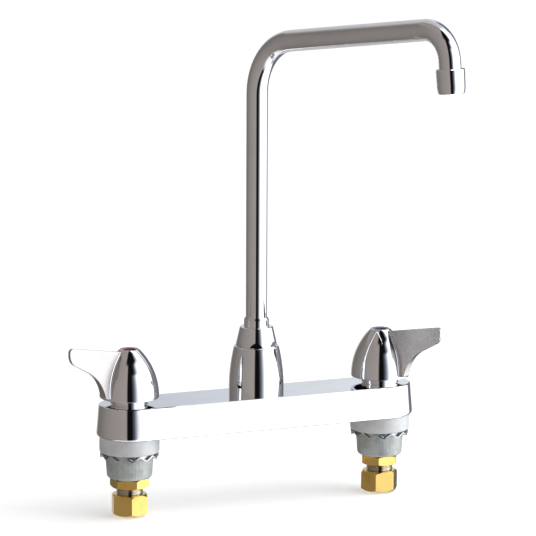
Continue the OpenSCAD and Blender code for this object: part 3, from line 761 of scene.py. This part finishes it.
def carved(bm: Mesh, tool: Mesh, operation: str) -> Mesh:
    """Combines two closed meshes, which are freed.

    Args:
        bm: The first mesh.
        tool: The second mesh.
        operation: INTERSECT or DIFFERENCE.

    Returns:
        The result.
    """
    objects = [linked("carving", meshed("carving", source)) for source in (bm, tool)]
    change = objects[0].modifiers.new("carve", "BOOLEAN")
    change.operation = operation
    change.solver = "EXACT"
    change.object = objects[1]
    result = bmesh.new()
    shown = objects[0].evaluated_get(bpy.context.evaluated_depsgraph_get())
    result.from_mesh(shown.to_mesh())
    shown.to_mesh_clear()
    for obj in objects:
        mesh = obj.data
        bpy.data.objects.remove(obj)
        bpy.data.meshes.remove(mesh)
    bmesh.ops.remove_doubles(result, verts=result.verts, dist=CARVED_WELD)
    return result


def joined(first: Mesh, *others: Mesh) -> Mesh:
    """Puts several meshes into the first one; the others are freed."""
    for extra in others:
        mesh = meshed("joining", extra)
        first.from_mesh(mesh)
        bpy.data.meshes.remove(mesh)
    return first


def thread(radius: float, depth: float, low: float, high: float, pitch: float) -> Mesh:
    """Winds the ridge of a screw thread.

    Args:
        radius: The thread's outer radius.
        depth: Its depth.
        low: Where it starts.
        high: Where it ends.
        pitch: Rise of one turn.

    Returns:
        The ridge, closed at both ends.
    """
    facets, buried = 48, 0.1
    bm = bmesh.new()
    root, foot, crest = radius - depth - buried, pitch * 0.44, pitch * 0.07
    start = low + foot
    geom = outline_edges(bm, [(root, start - foot), (radius, start - crest),
                              (radius, start + crest), (root, start + foot)])
    count = round((high - low - 2 * foot) / pitch * facets)
    first = only(geom, bmesh.types.BMEdge)
    made = bmesh.ops.spin(bm, geom=geom, cent=(0, 0, 0), axis=(0, 0, 1), steps=count,
                          dvec=(0, 0, pitch / facets), angle=FULL_TURN * count / facets)
    for loop in (first, only(made["geom_last"], bmesh.types.BMEdge)):
        bmesh.ops.contextual_create(bm, geom=loop)
    bmesh.ops.recalc_face_normals(bm, faces=bm.faces)
    return bm


def finished(name: str, bm: Mesh, finish: Finish, body: str,
             replaced: Sequence[str] = (), crisp: float = 32.0) -> None:
    """Makes an object of a mesh, dresses it and hangs it on its body.

    Args:
        name: The piece's name.
        bm: Its mesh in millimetres, which is freed.
        finish: Its finish.
        body: The body that it rides on.
        replaced: CAD nodes that it stands for.
        crisp: Edges that turn by more than this stay crisp, in degrees.
    """
    bmesh.ops.scale(bm, vec=(MM, MM, MM), verts=bm.verts)
    for face in bm.faces:
        face.smooth = True
    for edge in bm.edges:
        edge.smooth = not (edge.is_manifold and edge.calc_face_angle(0.0) > math.radians(crisp))
    mesh = meshed(name, bm)
    obj = linked(name, mesh)
    mesh.materials.append(finish.material())
    even = obj.modifiers.new("even_normals", "WEIGHTED_NORMAL")
    even.keep_sharp = True
    even.weight = 80
    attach(obj, body)
    if replaced:
        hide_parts(*replaced)
    LOG.info("made %s with %d faces", name, len(mesh.polygons))


# The faucet's sub-assemblies

@dataclass
class SideSet:
    """A sub-assembly that the faucet has once on each side, round that side's valve axis."""

    side: Side

    def hang(self, piece: str, bm: Mesh, finish: Finish, slot: str, *replaced: str,
             body: str = BASE, turn: float = 0.0) -> None:
        """Brings a mesh that is centred on +Z to this side and finishes it.

        Args:
            piece: The piece's name without its side.
            bm: Its mesh.
            finish: Its finish.
            slot: The record's material slot; not used.
            replaced: CAD nodes that it stands for, without their side.
            body: The body that it rides on.
            turn: How far it is turned about its axis.
        """
        name = self.side.value
        spun(bm, turn)
        bmesh.ops.translate(bm, vec=(self.side.x_mm, 0, 0), verts=bm.verts)
        finished(f"{name}_{piece}", bm, finish, body, [f"{name}_{node}" for node in replaced])


@dataclass
class HandleSet(SideSet):
    """One handle: a bell on a boss with a single wing, and its index ring."""

    bell_z: float = 29.0
    top_z: float = 65.1
    base_r: float = 22.0
    top_r: float = 7.3
    top_edge: float = 0.22
    wall: float = 2.4
    lip: float = 0.7
    crown_z: float = 56.1
    boss_z: float = 37.1
    boss_r: float = 7.0
    boss_edge: float = 0.4
    socket_r: float = 3.4
    screw_seat_z: float = 58.1
    screw_seat_t: float = 6.0
    screw_well_r: float = 4.4
    screw_hole_r: float = 2.3
    index_r: float = 6.6
    index_hole_r: float = 4.6
    index_t: float = 1.8
    index_dish: float = 0.5
    index_play: float = 0.1
    reach: float = 59.5
    climb: float = 10.8
    root_drop: float = 1.2
    tip_z: float = 68.6
    tip_r: float = 9.5
    corner_r: float = 3.0
    slope: float = 28.0
    sweep_r: float = 30.0
    sweep_stop: float = 1.0
    foot_x: float = 25.8
    foot_z: float = 31.2
    foot_cut: Point = (1.0, 0.8)
    edge_t: float = 2.3
    edge_above_tip: float = 4.5
    foot_t: float = 7.6
    slices: int = 16
    top_slice_above_tip: float = 4.0
    rim: float = 0.85
    rim_turn: float = 1.2
    rim_from: float = 0.5
    blend_r: float = 1.4
    blend_from: float = 0.15
    blend_to: float = 2.4
    blend_root: Point = (1.8, 0.3)
    blend_levels: int = 40
    blend_steps: int = 8

    def radius(self, z: float) -> float:
        """Radius of the bell's outside at a height."""
        z0 = self.bell_z + self.lip
        rho = leaning_radius(self.base_r - self.top_r, self.top_z - z0)
        return self.base_r - rho + math.sqrt(rho * rho - (z - z0) ** 2)

    def thickness(self, z: float) -> float:
        """Thickness of the wing at a height: thin along the top, swelling to the foot."""
        thin_z = self.tip_z + self.edge_above_tip
        u = max(0.0, min(1.0, (thin_z - z) / (thin_z - self.bell_z)))
        return self.edge_t + (self.foot_t - self.edge_t) * u * u

    def bell(self) -> Mesh:
        """The turned bell with its boss, from one outline.

        Returns:
            The bell.
        """
        foot_z = self.bell_z + self.lip
        outer = (self.base_r, foot_z, self.top_r, self.top_z)
        outside = ogive(*outer, 44)
        inside = [(r - self.wall, z) for r, z in ogive(*outer, 24) if z < self.crown_z - 1]
        ring_r, ring_z = self.index_r + self.index_play, self.top_z - self.index_t
        seat_z = self.screw_seat_z - self.screw_seat_t
        return turned(
            arc(self.base_r - self.lip, foot_z, self.lip, -90, 0, 5)[:-1] + outside[:-1]
            + arc(self.top_r - self.top_edge, self.top_z - self.top_edge, self.top_edge, 40, 90, 3)
            + [(ring_r, self.top_z), (ring_r, ring_z), (self.screw_well_r, ring_z),
               (self.screw_well_r, self.screw_seat_z), (self.screw_hole_r, self.screw_seat_z),
               (self.screw_hole_r, seat_z), (self.socket_r, seat_z), (self.socket_r, self.boss_z),
               (self.boss_r - self.boss_edge, self.boss_z),
               (self.boss_r, self.boss_z + self.boss_edge),
               (self.boss_r, self.crown_z), (inside[-1][0] - 1, self.crown_z)]
            + inside[::-1] + [(self.base_r - self.wall, self.bell_z)], 144)

    def blend(self, way: int) -> Mesh:
        """The concave blend between the bell and one face of the wing.

        Args:
            way: 1 or -1 for the wing's two faces.

        Returns:
            A closed strip whose hidden side lies inside the bell and the wing.
        """
        bm = bmesh.new()
        low, high = self.foot_z + self.blend_from, self.top_z - self.blend_to
        root_x, root_y = self.blend_root
        loop: list[bmesh.types.BMVert] = []
        for level in range(self.blend_levels + 1):
            z = low + (high - low) * level / self.blend_levels
            half = self.thickness(z) / 2
            y = half + self.blend_r
            x = math.sqrt((self.radius(z) + self.blend_r) ** 2 - y * y)
            end = math.degrees(math.atan2(-y, -x))
            section = arc(x, y, self.blend_r, -90, end, self.blend_steps)
            section.append((x - root_x, half - root_y))
            if not loop:
                loop = [bm.verts.new((px, way * py, z)) for px, py in section]
                edges = [bm.edges.new(pair) for pair in zip(loop, loop[1:] + loop[:1])]
                bmesh.ops.contextual_create(bm, geom=edges)
                continue
            made = bmesh.ops.extrude_edge_only(bm, edges=edges)["geom"]
            edges = only(made, bmesh.types.BMEdge)
            fresh = set(only(made, bmesh.types.BMVert))
            loop = [next(e.other_vert(v) for e in v.link_edges if e.other_vert(v) in fresh)
                    for v in loop]
            for vert, (px, py) in zip(loop, section):
                vert.co = (px, way * py, z)
        bmesh.ops.contextual_create(bm, geom=edges)
        bmesh.ops.recalc_face_normals(bm, faces=bm.faces)
        return bm

    def wing_outline(self) -> list[Point]:
        """Side view of the wing, from its root round the tip to its foot.

        Returns:
            Reach and height of each point.
        """
        slope = math.radians(self.slope)
        root_z = self.top_z - self.root_drop
        rise = math.tan(math.radians(self.climb))
        top_x = self.reach - self.corner_r
        top_z = root_z + (top_x - self.top_r) * rise - self.corner_r
        tip_x = self.reach - self.tip_r
        edge_x = tip_x + self.tip_r * math.sin(slope)
        edge_z = self.tip_z - self.tip_r * math.cos(slope)
        sweep_x = self.foot_x + self.sweep_r
        lean_x = edge_x - sweep_x + self.sweep_r * math.sin(slope)
        sweep_z = edge_z - lean_x * math.tan(slope) - self.sweep_r * math.cos(slope)
        stop = math.asin((self.foot_z + self.sweep_stop - sweep_z) / self.sweep_r)
        cut_x, cut_z = self.foot_cut
        return (
            [(self.boss_r, root_z - (self.top_r - self.boss_r) * rise)]
            + arc(top_x, top_z, self.corner_r, 90 + self.climb, 0, 10)
            + arc(tip_x, self.tip_z, self.tip_r, 0, self.slope - 90, 16)
            + arc(sweep_x, sweep_z, self.sweep_r, 90 + self.slope, 180 - math.degrees(stop), 24)
            + [(self.foot_x, self.foot_z + cut_z), (self.foot_x - cut_x, self.foot_z),
               (self.boss_r, self.foot_z)]
        )

    def wing(self) -> Mesh:
        """The wing: its side view given thickness, then its rim rounded.

        Returns:
            The wing, along +X.
        """
        bm = bmesh.new()
        outline_edges(bm, self.wing_outline())
        bmesh.ops.contextual_create(bm, geom=bm.edges[:])
        bmesh.ops.translate(bm, vec=(0, -0.5, 0), verts=bm.verts)
        height = self.tip_z + self.top_slice_above_tip - self.foot_z
        for i in range(1, self.slices):
            sliced(bm, (0, 0, self.foot_z + height * i / self.slices), (0, 0, 1))
        thickened(bm, (0, 1, 0))
        bmesh.ops.recalc_face_normals(bm, faces=bm.faces)
        rim = []
        for edge in bm.edges:
            a, b = (vert.co for vert in edge.verts)
            outside = (a.x + b.x) / 2 > self.boss_r + self.rim_from
            if outside and abs(a.y - b.y) < 0.1 and edge.calc_face_angle(0.0) > self.rim_turn:
                rim.append(edge)
        for vert in bm.verts:
            vert.co.y *= self.thickness(vert.co.z)
        bevelled(bm, rim, self.rim, segments=4, clamp=True)
        return bm

    def index(self) -> Mesh:
        """The enamelled ring that tells hot from cold.

        Returns:
            The ring.
        """
        low, high = self.top_z - self.index_t, self.top_z
        return turned(softened([
            (self.index_hole_r, low, 0.1), (self.index_r, low, 0.1), (self.index_r, high, 0.35),
            (self.index_hole_r, high - self.index_dish, 0.2),
        ]), 64)

    def build(self) -> None:
        """Makes, dresses and hangs the bell, the wing and the ring."""
        body, turn = self.side.body, self.side.wing_turn
        bell = joined(self.bell(), self.blend(1), self.blend(-1))
        self.hang("handle_bell", bell, CAST_CHROME, "chrome", "handle", body=body, turn=turn)
        self.hang("handle_wing", self.wing(), SHADED_WING_CHROME, "chrome", body=body, turn=turn)
        mark = HOT_MARK if self.side is Side.HOT else COLD_MARK
        self.hang("index_mark", self.index(), mark, f"{self.side.value}_mark", "index_ring",
                  body=body)


@dataclass
class BonnetRing(SideSet):
    """The bonnet of one valve: its collar stands on the bar and carries two spanner flats."""

    body_z: float = 24.2
    bore: float = 7.6
    plug_r: float = 11.9
    collar_r: float = 13.8
    collar_h: float = 4.2
    undercut: float = 0.9
    undercut_h: float = 0.45
    flats: float = 26.2

    def build(self) -> None:
        """Makes the collar's outline, cuts its flats and hangs it on the base."""
        low, high = self.body_z, self.body_z + self.collar_h
        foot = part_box(f"{self.side.value}_bonnet")[0][2] / MM
        neck_r, step = self.collar_r - self.undercut, low + self.undercut_h
        ring = turned(softened([
            (self.bore, foot, 0.0), (self.plug_r, foot, 0.2), (self.plug_r, low, 0.0),
            (neck_r, low, 0.0), (neck_r, step, 0.0), (self.collar_r, step, 0.1),
            (self.collar_r, high, 0.6), (self.bore, high, 0.2),
        ]), 128)
        for way in (1, -1):
            sliced(ring, (way * self.flats / 2, 0, 0), (way, 0, 0), clear=True)
            bmesh.ops.holes_fill(ring, edges=[e for e in ring.edges if e.is_boundary])
        bmesh.ops.recalc_face_normals(ring, faces=ring.faces)
        self.hang("bonnet_collar", ring, CHROME, "chrome", "bonnet")


@dataclass
class DeckHardware(SideSet):
    """What clamps one shank to the deck: spacer washer, folded lock washer and locknut."""

    bore: float = 10.6
    washer_r: float = 22.2
    washer_h: float = 11.9
    washer_gap: float = 0.02
    lock_r: float = 21.7
    lock_t: float = 0.8
    flat_past_nut: float = 0.1
    fold_past_nut: float = 0.4
    fold_root: float = 0.85
    wave: float = 3.2
    waves: int = 12
    facets_per_wave: int = 12
    nut_top_r: float = 17.9
    nut_low_r: float = 16.6
    nut_h: float = 18.6
    nut_round: float = 2.8
    ribs: int = 40
    rib_depth: float = 0.09
    rib_from: float = 0.8
    facets_per_rib: int = 6

    def washer(self) -> Mesh:
        """The thick spacer washer, its lower edge rounded.

        Returns:
            The washer.
        """
        return turned(softened([
            (self.bore, 0, 0), (self.bore, -self.washer_h, 0.3),
            (self.washer_r, -self.washer_h, 1.6), (self.washer_r, -self.washer_gap, 0.25),
        ], 6), 128)

    def lock_washer(self) -> Mesh:
        """A flat ring whose rim is pressed into sharp folds.

        Returns:
            The lock washer.
        """
        top, low = -self.washer_h, -self.washer_h - self.lock_t
        flat_r, fold_r = self.nut_top_r + self.flat_past_nut, self.nut_top_r + self.fold_past_nut
        radii = [self.bore, flat_r, fold_r, self.lock_r]
        bm = turned([(r, top) for r in radii] + [(r, low) for r in reversed(radii)],
                    self.waves * self.facets_per_wave)
        for vert in bm.verts:
            r = vert.co.xy.length
            if r > flat_r + 0.1:
                turn = math.degrees(math.atan2(vert.co.y, vert.co.x)) / 360
                fold = self.wave * (1 - abs(2 * (turn * self.waves % 1.0) - 1))
                vert.co.z -= fold * (self.fold_root if r < fold_r + 0.1 else 1.0)
        return bm

    def locknut(self) -> Mesh:
        """The cast locknut: a tapered cup with fine upright ribs and a rounded lower edge.

        Returns:
            The locknut.
        """
        high = -self.washer_h - self.lock_t
        low = high - self.nut_h
        bm = turned(softened([
            (self.bore, high, 0.3), (self.bore, low, 0.3), (self.nut_low_r, low, self.nut_round),
            (self.nut_top_r, high, 0.5),
        ], 7), self.ribs * self.facets_per_rib)
        for vert in bm.verts:
            r = vert.co.xy.length
            if r > self.nut_low_r - self.rib_from:
                lift = max(0.0, math.cos(self.ribs * math.atan2(vert.co.y, vert.co.x))) ** 3
                vert.co.xy *= 1 - self.rib_depth * lift / r
        return bm

    def build(self) -> None:
        """Makes, dresses and hangs the three pieces."""
        self.hang("spacer_washer", self.washer(), SATIN_ZINC, "satin_zinc", "deck_washer")
        self.hang("folded_washer", self.lock_washer(), BRIGHT_STEEL, "bright_steel", "lock_washer")
        self.hang("ribbed_locknut", self.locknut(), DULL_ZINC, "dull_zinc", "locknut")


@dataclass
class InletFitting(SideSet):
    """The compression fitting under one shank: adapter with a plated neck, and coupling nut."""

    adapter_turn: float
    coupling_turn: float
    adapter_af: float = 25.4
    adapter_z: float = -31.3
    adapter_h: float = 7.5
    adapter_drops: Point = (1.2, 0.9)
    neck_r: float = 9.8
    neck_bore: float = 6.5
    neck_end: float = -52.4
    neck_waist: float = 0.9
    neck_root: float = 0.4
    thread_depth: float = 0.45
    pitch: float = 1.1
    coupling_af: float = 25.0
    coupling_z: float = -43.4
    coupling_h: float = 15.7
    coupling_drops: Point = (1.5, 1.7)
    coupling_hole: float = 6.7
    coupling_floor: float = 2.6
    face_inset: float = 0.25
    face_edge: Point = (0.3, 0.15)
    past_corner: float = 3.0
    lens_rise: float = 1.7
    corner_edge: float = 0.35

    def hex_ring(self, across: float, low: float, high: float, bore: float, turn: float,
                 drops: Point) -> Mesh:
        """A hexagon with a bore whose corners are turned off at its ends.

        Args:
            across: Width across the flats.
            low: Height of its foot.
            high: Height of its top.
            bore: Radius of the bore.
            turn: Direction of a corner.
            drops: Drop of the turned corners at the foot and at the top.

        Returns:
            The ring.
        """
        flat, out = across / 2 - self.face_inset, across / 2 + self.past_corner
        edge_r, edge_z = self.face_edge
        foot_z, head_z = low + drops[0] * self.lens_rise, high - drops[1] * self.lens_rise
        lens = [(bore, low), (flat - edge_r, low), (flat, low + edge_z), (out, foot_z),
                (out, head_z), (flat, high - edge_z), (flat - edge_r, high), (bore, high)]
        blank = prism(across, low - 1, high + 1, turn, self.corner_edge)
        return carved(turned(lens, 96), blank, "INTERSECT")

    def neck(self, top: float) -> Mesh:
        """The neck with its thread.

        Args:
            top: Underside of the adapter's hexagon.

        Returns:
            The neck.
        """
        core, waist = self.neck_r - self.thread_depth, self.neck_r - self.neck_waist
        tube = turned(softened([
            (self.neck_bore, self.neck_end, 0.3), (core, self.neck_end, 0.5),
            (core, top - 1.3, 0.0), (waist, top - 0.9, 0.2), (waist, top + self.neck_root, 0.0),
            (self.neck_bore, top + self.neck_root, 0.0),
        ]), 96)
        return joined(tube, thread(self.neck_r, self.thread_depth, self.neck_end + 0.3, top - 1.2,
                                   self.pitch))

    def coupling(self) -> Mesh:
        """The coupling nut, bored out from above to take the neck.

        Returns:
            The nut.
        """
        low, high = self.coupling_z - self.coupling_h, self.coupling_z
        nut = self.hex_ring(self.coupling_af, low, high, self.coupling_hole, self.coupling_turn,
                            self.coupling_drops)
        floor, hole, wall = low + self.coupling_floor, self.coupling_hole - 0.2, self.neck_r + 0.05
        throat = turned([(hole, floor), (wall, floor), (wall, high + 1), (hole, high + 1)], 64)
        return carved(nut, throat, "DIFFERENCE")

    def build(self) -> None:
        """Makes, dresses and hangs the adapter, its neck and the coupling nut."""
        foot = self.adapter_z - self.adapter_h
        adapter = self.hex_ring(self.adapter_af, foot, self.adapter_z, self.neck_r - 1.2,
                                self.adapter_turn, self.adapter_drops)
        self.hang("adapter_hexagon", adapter, BRASS, "brass", "inlet_adapter")
        self.hang("threaded_neck", self.neck(foot), NECK_BRASS, "neck_brass")
        self.hang("coupling_hexagon", self.coupling(), BRASS, "brass", "coupling_nut")


@dataclass
class SpoutNut:
    """The conical nut that holds the spout in its tower, with six wrench flats at its foot."""

    bore: float = 9.35
    foot_z: float = 60.0
    foot_r: float = 15.5
    top_r: float = 12.3
    height: float = 14.6
    thread_r: float = 13.2
    flats: float = 29.3
    flat_edge: float = 0.05
    turn: float = -83.5
    undercut: float = 0.8
    undercut_h: float = 0.45
    crisp: float = 12.0

    def build(self) -> None:
        """Makes the nut: a turned cone cut by a hexagon."""
        top = self.foot_z + self.height
        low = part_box("spout_nut")[0][2] / MM
        neck_r, step = self.foot_r - self.undercut, self.foot_z + self.undercut_h
        cone = turned(softened([
            (self.bore, low, 0.0), (self.thread_r, low, 0.3), (self.thread_r, self.foot_z, 0.0),
            (neck_r, self.foot_z, 0.0), (neck_r, step, 0.0), (self.foot_r, step, 0.15),
            (self.top_r, top, 1.0), (self.bore, top, 0.3),
        ], 6), 144)
        hexagon = prism(self.flats, low - 1, top + 1, self.turn, self.flat_edge)
        finished("spout_retaining_nut", carved(cone, hexagon, "INTERSECT"), CHROME, BASE,
                 ["spout_nut"], self.crisp)


# The CAD nodes' finishes: those in the middle, then those of each side

NODE_FINISHES = {
    "deck_body": CAST_CHROME, "spout_nut": CHROME, "spout_tube": CHROME, "swivel_sleeve": CHROME,
    "outlet_shell": CHROME, "outlet_gasket": RUBBER, "flow_straightener": WHITE_PLASTIC,
    "outlet_screen": BRIGHT_STEEL, "swivel_seals": RUBBER, "swivel_washer": WHITE_PLASTIC,
    "friction_ring": WHITE_PLASTIC,
}
SIDE_NODE_FINISHES = {
    "shank": BRASS, "inlet_washer": FIBRE, "compression_sleeve": NECK_BRASS, "seat_seal": RUBBER,
    "cartridge_case": NECK_BRASS, "case_seal": RUBBER, "lower_disc": CERAMIC,
    "upper_disc": CERAMIC, "valve_stem": NECK_BRASS, "stem_seal": RUBBER,
    "stem_clip": BRIGHT_STEEL, "bonnet": CHROME, "handle": CAST_CHROME,
    "deck_washer": SATIN_ZINC, "lock_washer": BRIGHT_STEEL, "locknut": DULL_ZINC,
    "inlet_adapter": BRASS, "coupling_nut": BRASS, "handle_screw": BRIGHT_STEEL,
}


@dataclass
class CarriedNodes:
    """The CAD nodes: each gets its finish in its own slots, the replaced ones too."""

    nodes: dict[str, bpy.types.Object]

    def dress(self) -> None:
        """Puts each finish in the slots of its nodes."""
        table = dict(NODE_FINISHES)
        for side in Side:
            table |= {f"{side.value}_{name}": made for name, made in SIDE_NODE_FINISHES.items()}
            table[f"{side.value}_index_ring"] = HOT_MARK if side is Side.HOT else COLD_MARK
        for name, finish in table.items():
            for slot in self.nodes[name].material_slots:
                slot.material = finish.material()
            LOG.info("dressed %s in %s", name, finish.name)
        bare = sorted(set(self.nodes) - set(table))
        if bare:
            LOG.warning("nodes without a finish: %s", bare)


# What the chrome mirrors: tones by degrees round from the camera, positive to its right

Course = tuple[tuple[float, Colour | float], ...]

PALE = linear(252, 253, 255)
GLOW = linear(217, 220, 226)
SEAM = linear(207, 210, 216)
BACK = linear(194, 199, 208)
DUSK = linear(190, 187, 185)
WARM = linear(155, 147, 143)
BROWN = linear(143, 136, 132)
GREY = linear(108, 110, 121)
BLACK = linear(14, 14, 15)

WALLS: Course = (
    (-180, DUSK), (-156, DUSK), (-147, linear(112, 108, 104)), (-122, linear(114, 110, 106)),
    (-92, linear(132, 126, 122)), (-65, BROWN), (-9, WARM), (-4, BLACK), (12, BLACK),
    (20, linear(84, 88, 96)), (27, linear(150, 155, 165)), (33, linear(214, 219, 228)),
    (39, PALE), (128, PALE), (134, GREY), (172, GREY), (177, BACK), (180, BACK),
)
UPPERS: Course = (
    (-180, SEAM), (-179.3, BACK), (-174, BACK), (-160, DUSK), (-140, DUSK),
    (-131, linear(148, 142, 138)), (-60, BROWN), (-9, WARM), (-4, BLACK), (24, BLACK),
    (34, linear(96, 101, 110)), (44, linear(190, 196, 206)), (56, PALE), (132, PALE),
    (140, GREY), (164, GREY), (172, BACK), (177, GLOW), (179.3, GLOW), (180, SEAM),
)
OVERHEAD: Course = (
    (-180, DUSK), (-134, DUSK), (-124, linear(146, 139, 135)), (-26, linear(152, 144, 140)),
    (-16, BLACK), (48, BLACK), (62, linear(120, 125, 134)), (76, PALE), (130, PALE),
    (150, BACK), (180, BACK),
)
# Sine of the elevation at which the walls give way to the uppers
STEP: Course = ((-180, 0.10), (-158, 0.15), (-146, 0.55), (134, 0.55), (156, 0.10), (180, 0.10))
# How much brighter than the room the white sheet is
SHEET: Course = (
    (26, 0.0), (44, 0.35), (81, 0.35), (86, 1.0), (101, 1.0), (106, 0.35), (122, 0.35), (132, 0.0),
)
# The light that matt faces get
AMBIENT: Course = (
    (-180, 0.25), (-130, 0.06), (-30, 0.08), (35, 0.5), (75, 1.0), (140, 0.7), (180, 0.25),
)


def course(w: Wiring, angle: Socket, stops: Course) -> Socket:
    """Adds a ramp that runs round the horizon.

    Args:
        w: The world's wiring.
        angle: Place round the horizon from 0 to 1, with the camera at 0.5.
        stops: Degrees, and the colour or plain level there.

    Returns:
        The ramp's colour.
    """
    return w.ramp(angle, [
        (0.5 + degrees / 360, tone if isinstance(tone, tuple) else (tone, tone, tone, 1.0))
        for degrees, tone in stops
    ])


@dataclass
class Studio:
    """Floor, surroundings, lamp and camera, in metres."""

    aim: tuple[float, float, float] = (0.0078, -0.0034, 0.1184)
    distance: float = 3.2377
    yaw: float = 23.48
    pitch: float = 10.59
    roll: float = 0.218
    lens: float = 293.4
    sensor: float = 36.0
    room_strength: float = 1.14
    sheet_strength: float = 1.26
    ambient_strength: float = 1.55
    softbox_at: tuple[float, float, float] = (1.3, -0.9, 1.9)
    softbox_size: Point = (1.6, 1.2)
    softbox_energy: float = 16.0
    floor_z: float = -0.0605
    floor_size: float = 14.0
    floor_lift: float = 0.45

    def camera(self) -> None:
        """Places the camera at the photograph's viewing angle."""
        data = bpy.data.cameras.new("camera")
        data.lens = self.lens
        data.sensor_width = self.sensor
        data.clip_end = 50.0
        cam = linked("camera", data)
        yaw, pitch = math.radians(self.yaw), math.radians(self.pitch)
        away = Vector((-math.sin(yaw) * math.cos(pitch), -math.cos(yaw) * math.cos(pitch),
                       math.sin(pitch)))
        place = Matrix.Translation(Vector(self.aim) + away * self.distance)
        cam.matrix_world = (place @ away.to_track_quat("Z", "Y").to_matrix().to_4x4()
                            @ Matrix.Rotation(math.radians(self.roll), 4, "Z"))
        bpy.context.scene.camera = cam
        LOG.info("camera at %s", tuple(round(v, 3) for v in cam.location))

    def room(self, w: Wiring, way: Socket, angle: Socket) -> Socket:
        """The room's colour by direction: walls, what stands above their step, the overhead
        and a pale deck.

        Args:
            w: The world's wiring.
            way: The direction.
            angle: Place round the horizon from 0 to 1.

        Returns:
            The colour.
        """
        height = w.add("ShaderNodeSeparateXYZ", Vector=way).outputs[2]
        over = w.math("SUBTRACT", height, course(w, angle, STEP))
        shown = w.mix(w.span(over, -0.06, 0.04), course(w, angle, WALLS), course(w, angle, UPPERS))
        shown = w.mix(w.span(height, 0.72, 0.82), shown, course(w, angle, OVERHEAD))
        return w.mix(w.span(height, -0.95, -0.82, 1.0, 0.0), shown, PALE)

    def surroundings(self) -> None:
        """The room for the chrome, a plain light for matt faces, and white for the camera."""
        world = bpy.data.worlds.new("studio")
        bpy.context.scene.world = world
        w = Wiring(cleared(world))
        way = w.add("ShaderNodeTexCoord").outputs["Generated"]
        from_camera = w.add("ShaderNodeMapping", Vector=way,
                            Rotation=(0.0, 0.0, math.radians(90 + self.yaw)))
        radial = w.add("ShaderNodeTexGradient", Vector=from_camera.outputs[0])
        radial.gradient_type = "RADIAL"
        angle = radial.outputs["Fac"]
        boost = w.math("MULTIPLY_ADD", course(w, angle, SHEET), self.sheet_strength,
                       self.room_strength)
        mirrored = w.add("ShaderNodeBackground", Color=self.room(w, way, angle), Strength=boost)
        plain = w.add("ShaderNodeBackground", Color=course(w, angle, AMBIENT),
                      Strength=self.ambient_strength)
        seen = w.add("ShaderNodeBackground", Color=WHITE, Strength=1.0)
        path = w.add("ShaderNodeLightPath").outputs
        lit = w.either(path["Is Glossy Ray"], plain, mirrored)
        whole = w.either(path["Is Camera Ray"], lit, seen)
        w.add("ShaderNodeOutputWorld", Surface=whole.outputs[0])

    def softbox(self) -> None:
        """One broad soft lamp above and to the right, which polished metal doesn't mirror."""
        data = bpy.data.lights.new("softbox", "AREA")
        data.shape = "RECTANGLE"
        data.size, data.size_y = self.softbox_size
        data.energy = self.softbox_energy
        lamp = linked("softbox", data)
        place = Vector(self.softbox_at)
        turn = place.to_track_quat("Z", "Y").to_matrix().to_4x4()
        lamp.matrix_world = Matrix.Translation(place) @ turn
        lamp.visible_glossy = False
        lamp.visible_camera = False

    def floor(self) -> None:
        """A plain pale floor that keeps the shadow and that polished metal doesn't mirror."""
        bm = bmesh.new()
        bmesh.ops.create_grid(bm, x_segments=2, y_segments=2, size=self.floor_size / 2)
        bmesh.ops.translate(bm, vec=(0, 0, self.floor_z), verts=bm.verts)
        mesh = meshed("floor", bm)
        made = bpy.data.materials.new("pale_floor")
        w = Wiring(cleared(made))
        matt = w.add("ShaderNodeBsdfDiffuse", Color=linear(246, 246, 246))
        lift = w.add("ShaderNodeEmission", Color=WHITE, Strength=self.floor_lift)
        lifted = w.row("ShaderNodeAddShader", matt.outputs[0], lift.outputs[0])
        path = w.add("ShaderNodeLightPath").outputs
        seen = w.either(path["Is Camera Ray"], matt, lifted)
        whole = w.either(path["Is Glossy Ray"], seen, w.add("ShaderNodeBsdfTransparent"))
        w.add("ShaderNodeOutputMaterial", Surface=whole.outputs[0])
        mesh.materials.append(made)
        linked("floor", mesh)

    def build(self) -> None:
        """Sets the whole studio up."""
        bpy.context.scene.view_settings.view_transform = "Standard"
        self.camera()
        self.surroundings()
        self.softbox()
        self.floor()


def main() -> None:
    """Builds and dresses the faucet."""
    logging.basicConfig(level=logging.INFO, format="%(name)s: %(message)s")
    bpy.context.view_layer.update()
    CarriedNodes(FRAME["nodes"]).dress()
    SpoutNut().build()
    for side in Side:
        HandleSet(side).build()
        BonnetRing(side).build()
        DeckHardware(side).build()
    InletFitting(Side.HOT, adapter_turn=-89, coupling_turn=-105).build()
    InletFitting(Side.COLD, adapter_turn=-117, coupling_turn=-126).build()
    Studio().build()


def clear_start() -> None:
    """Removes the objects of the program's start-up scene."""
    for obj in list(bpy.data.objects):
        bpy.data.objects.remove(obj)


clear_start()
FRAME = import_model()

if __name__ == "__main__":
    main()
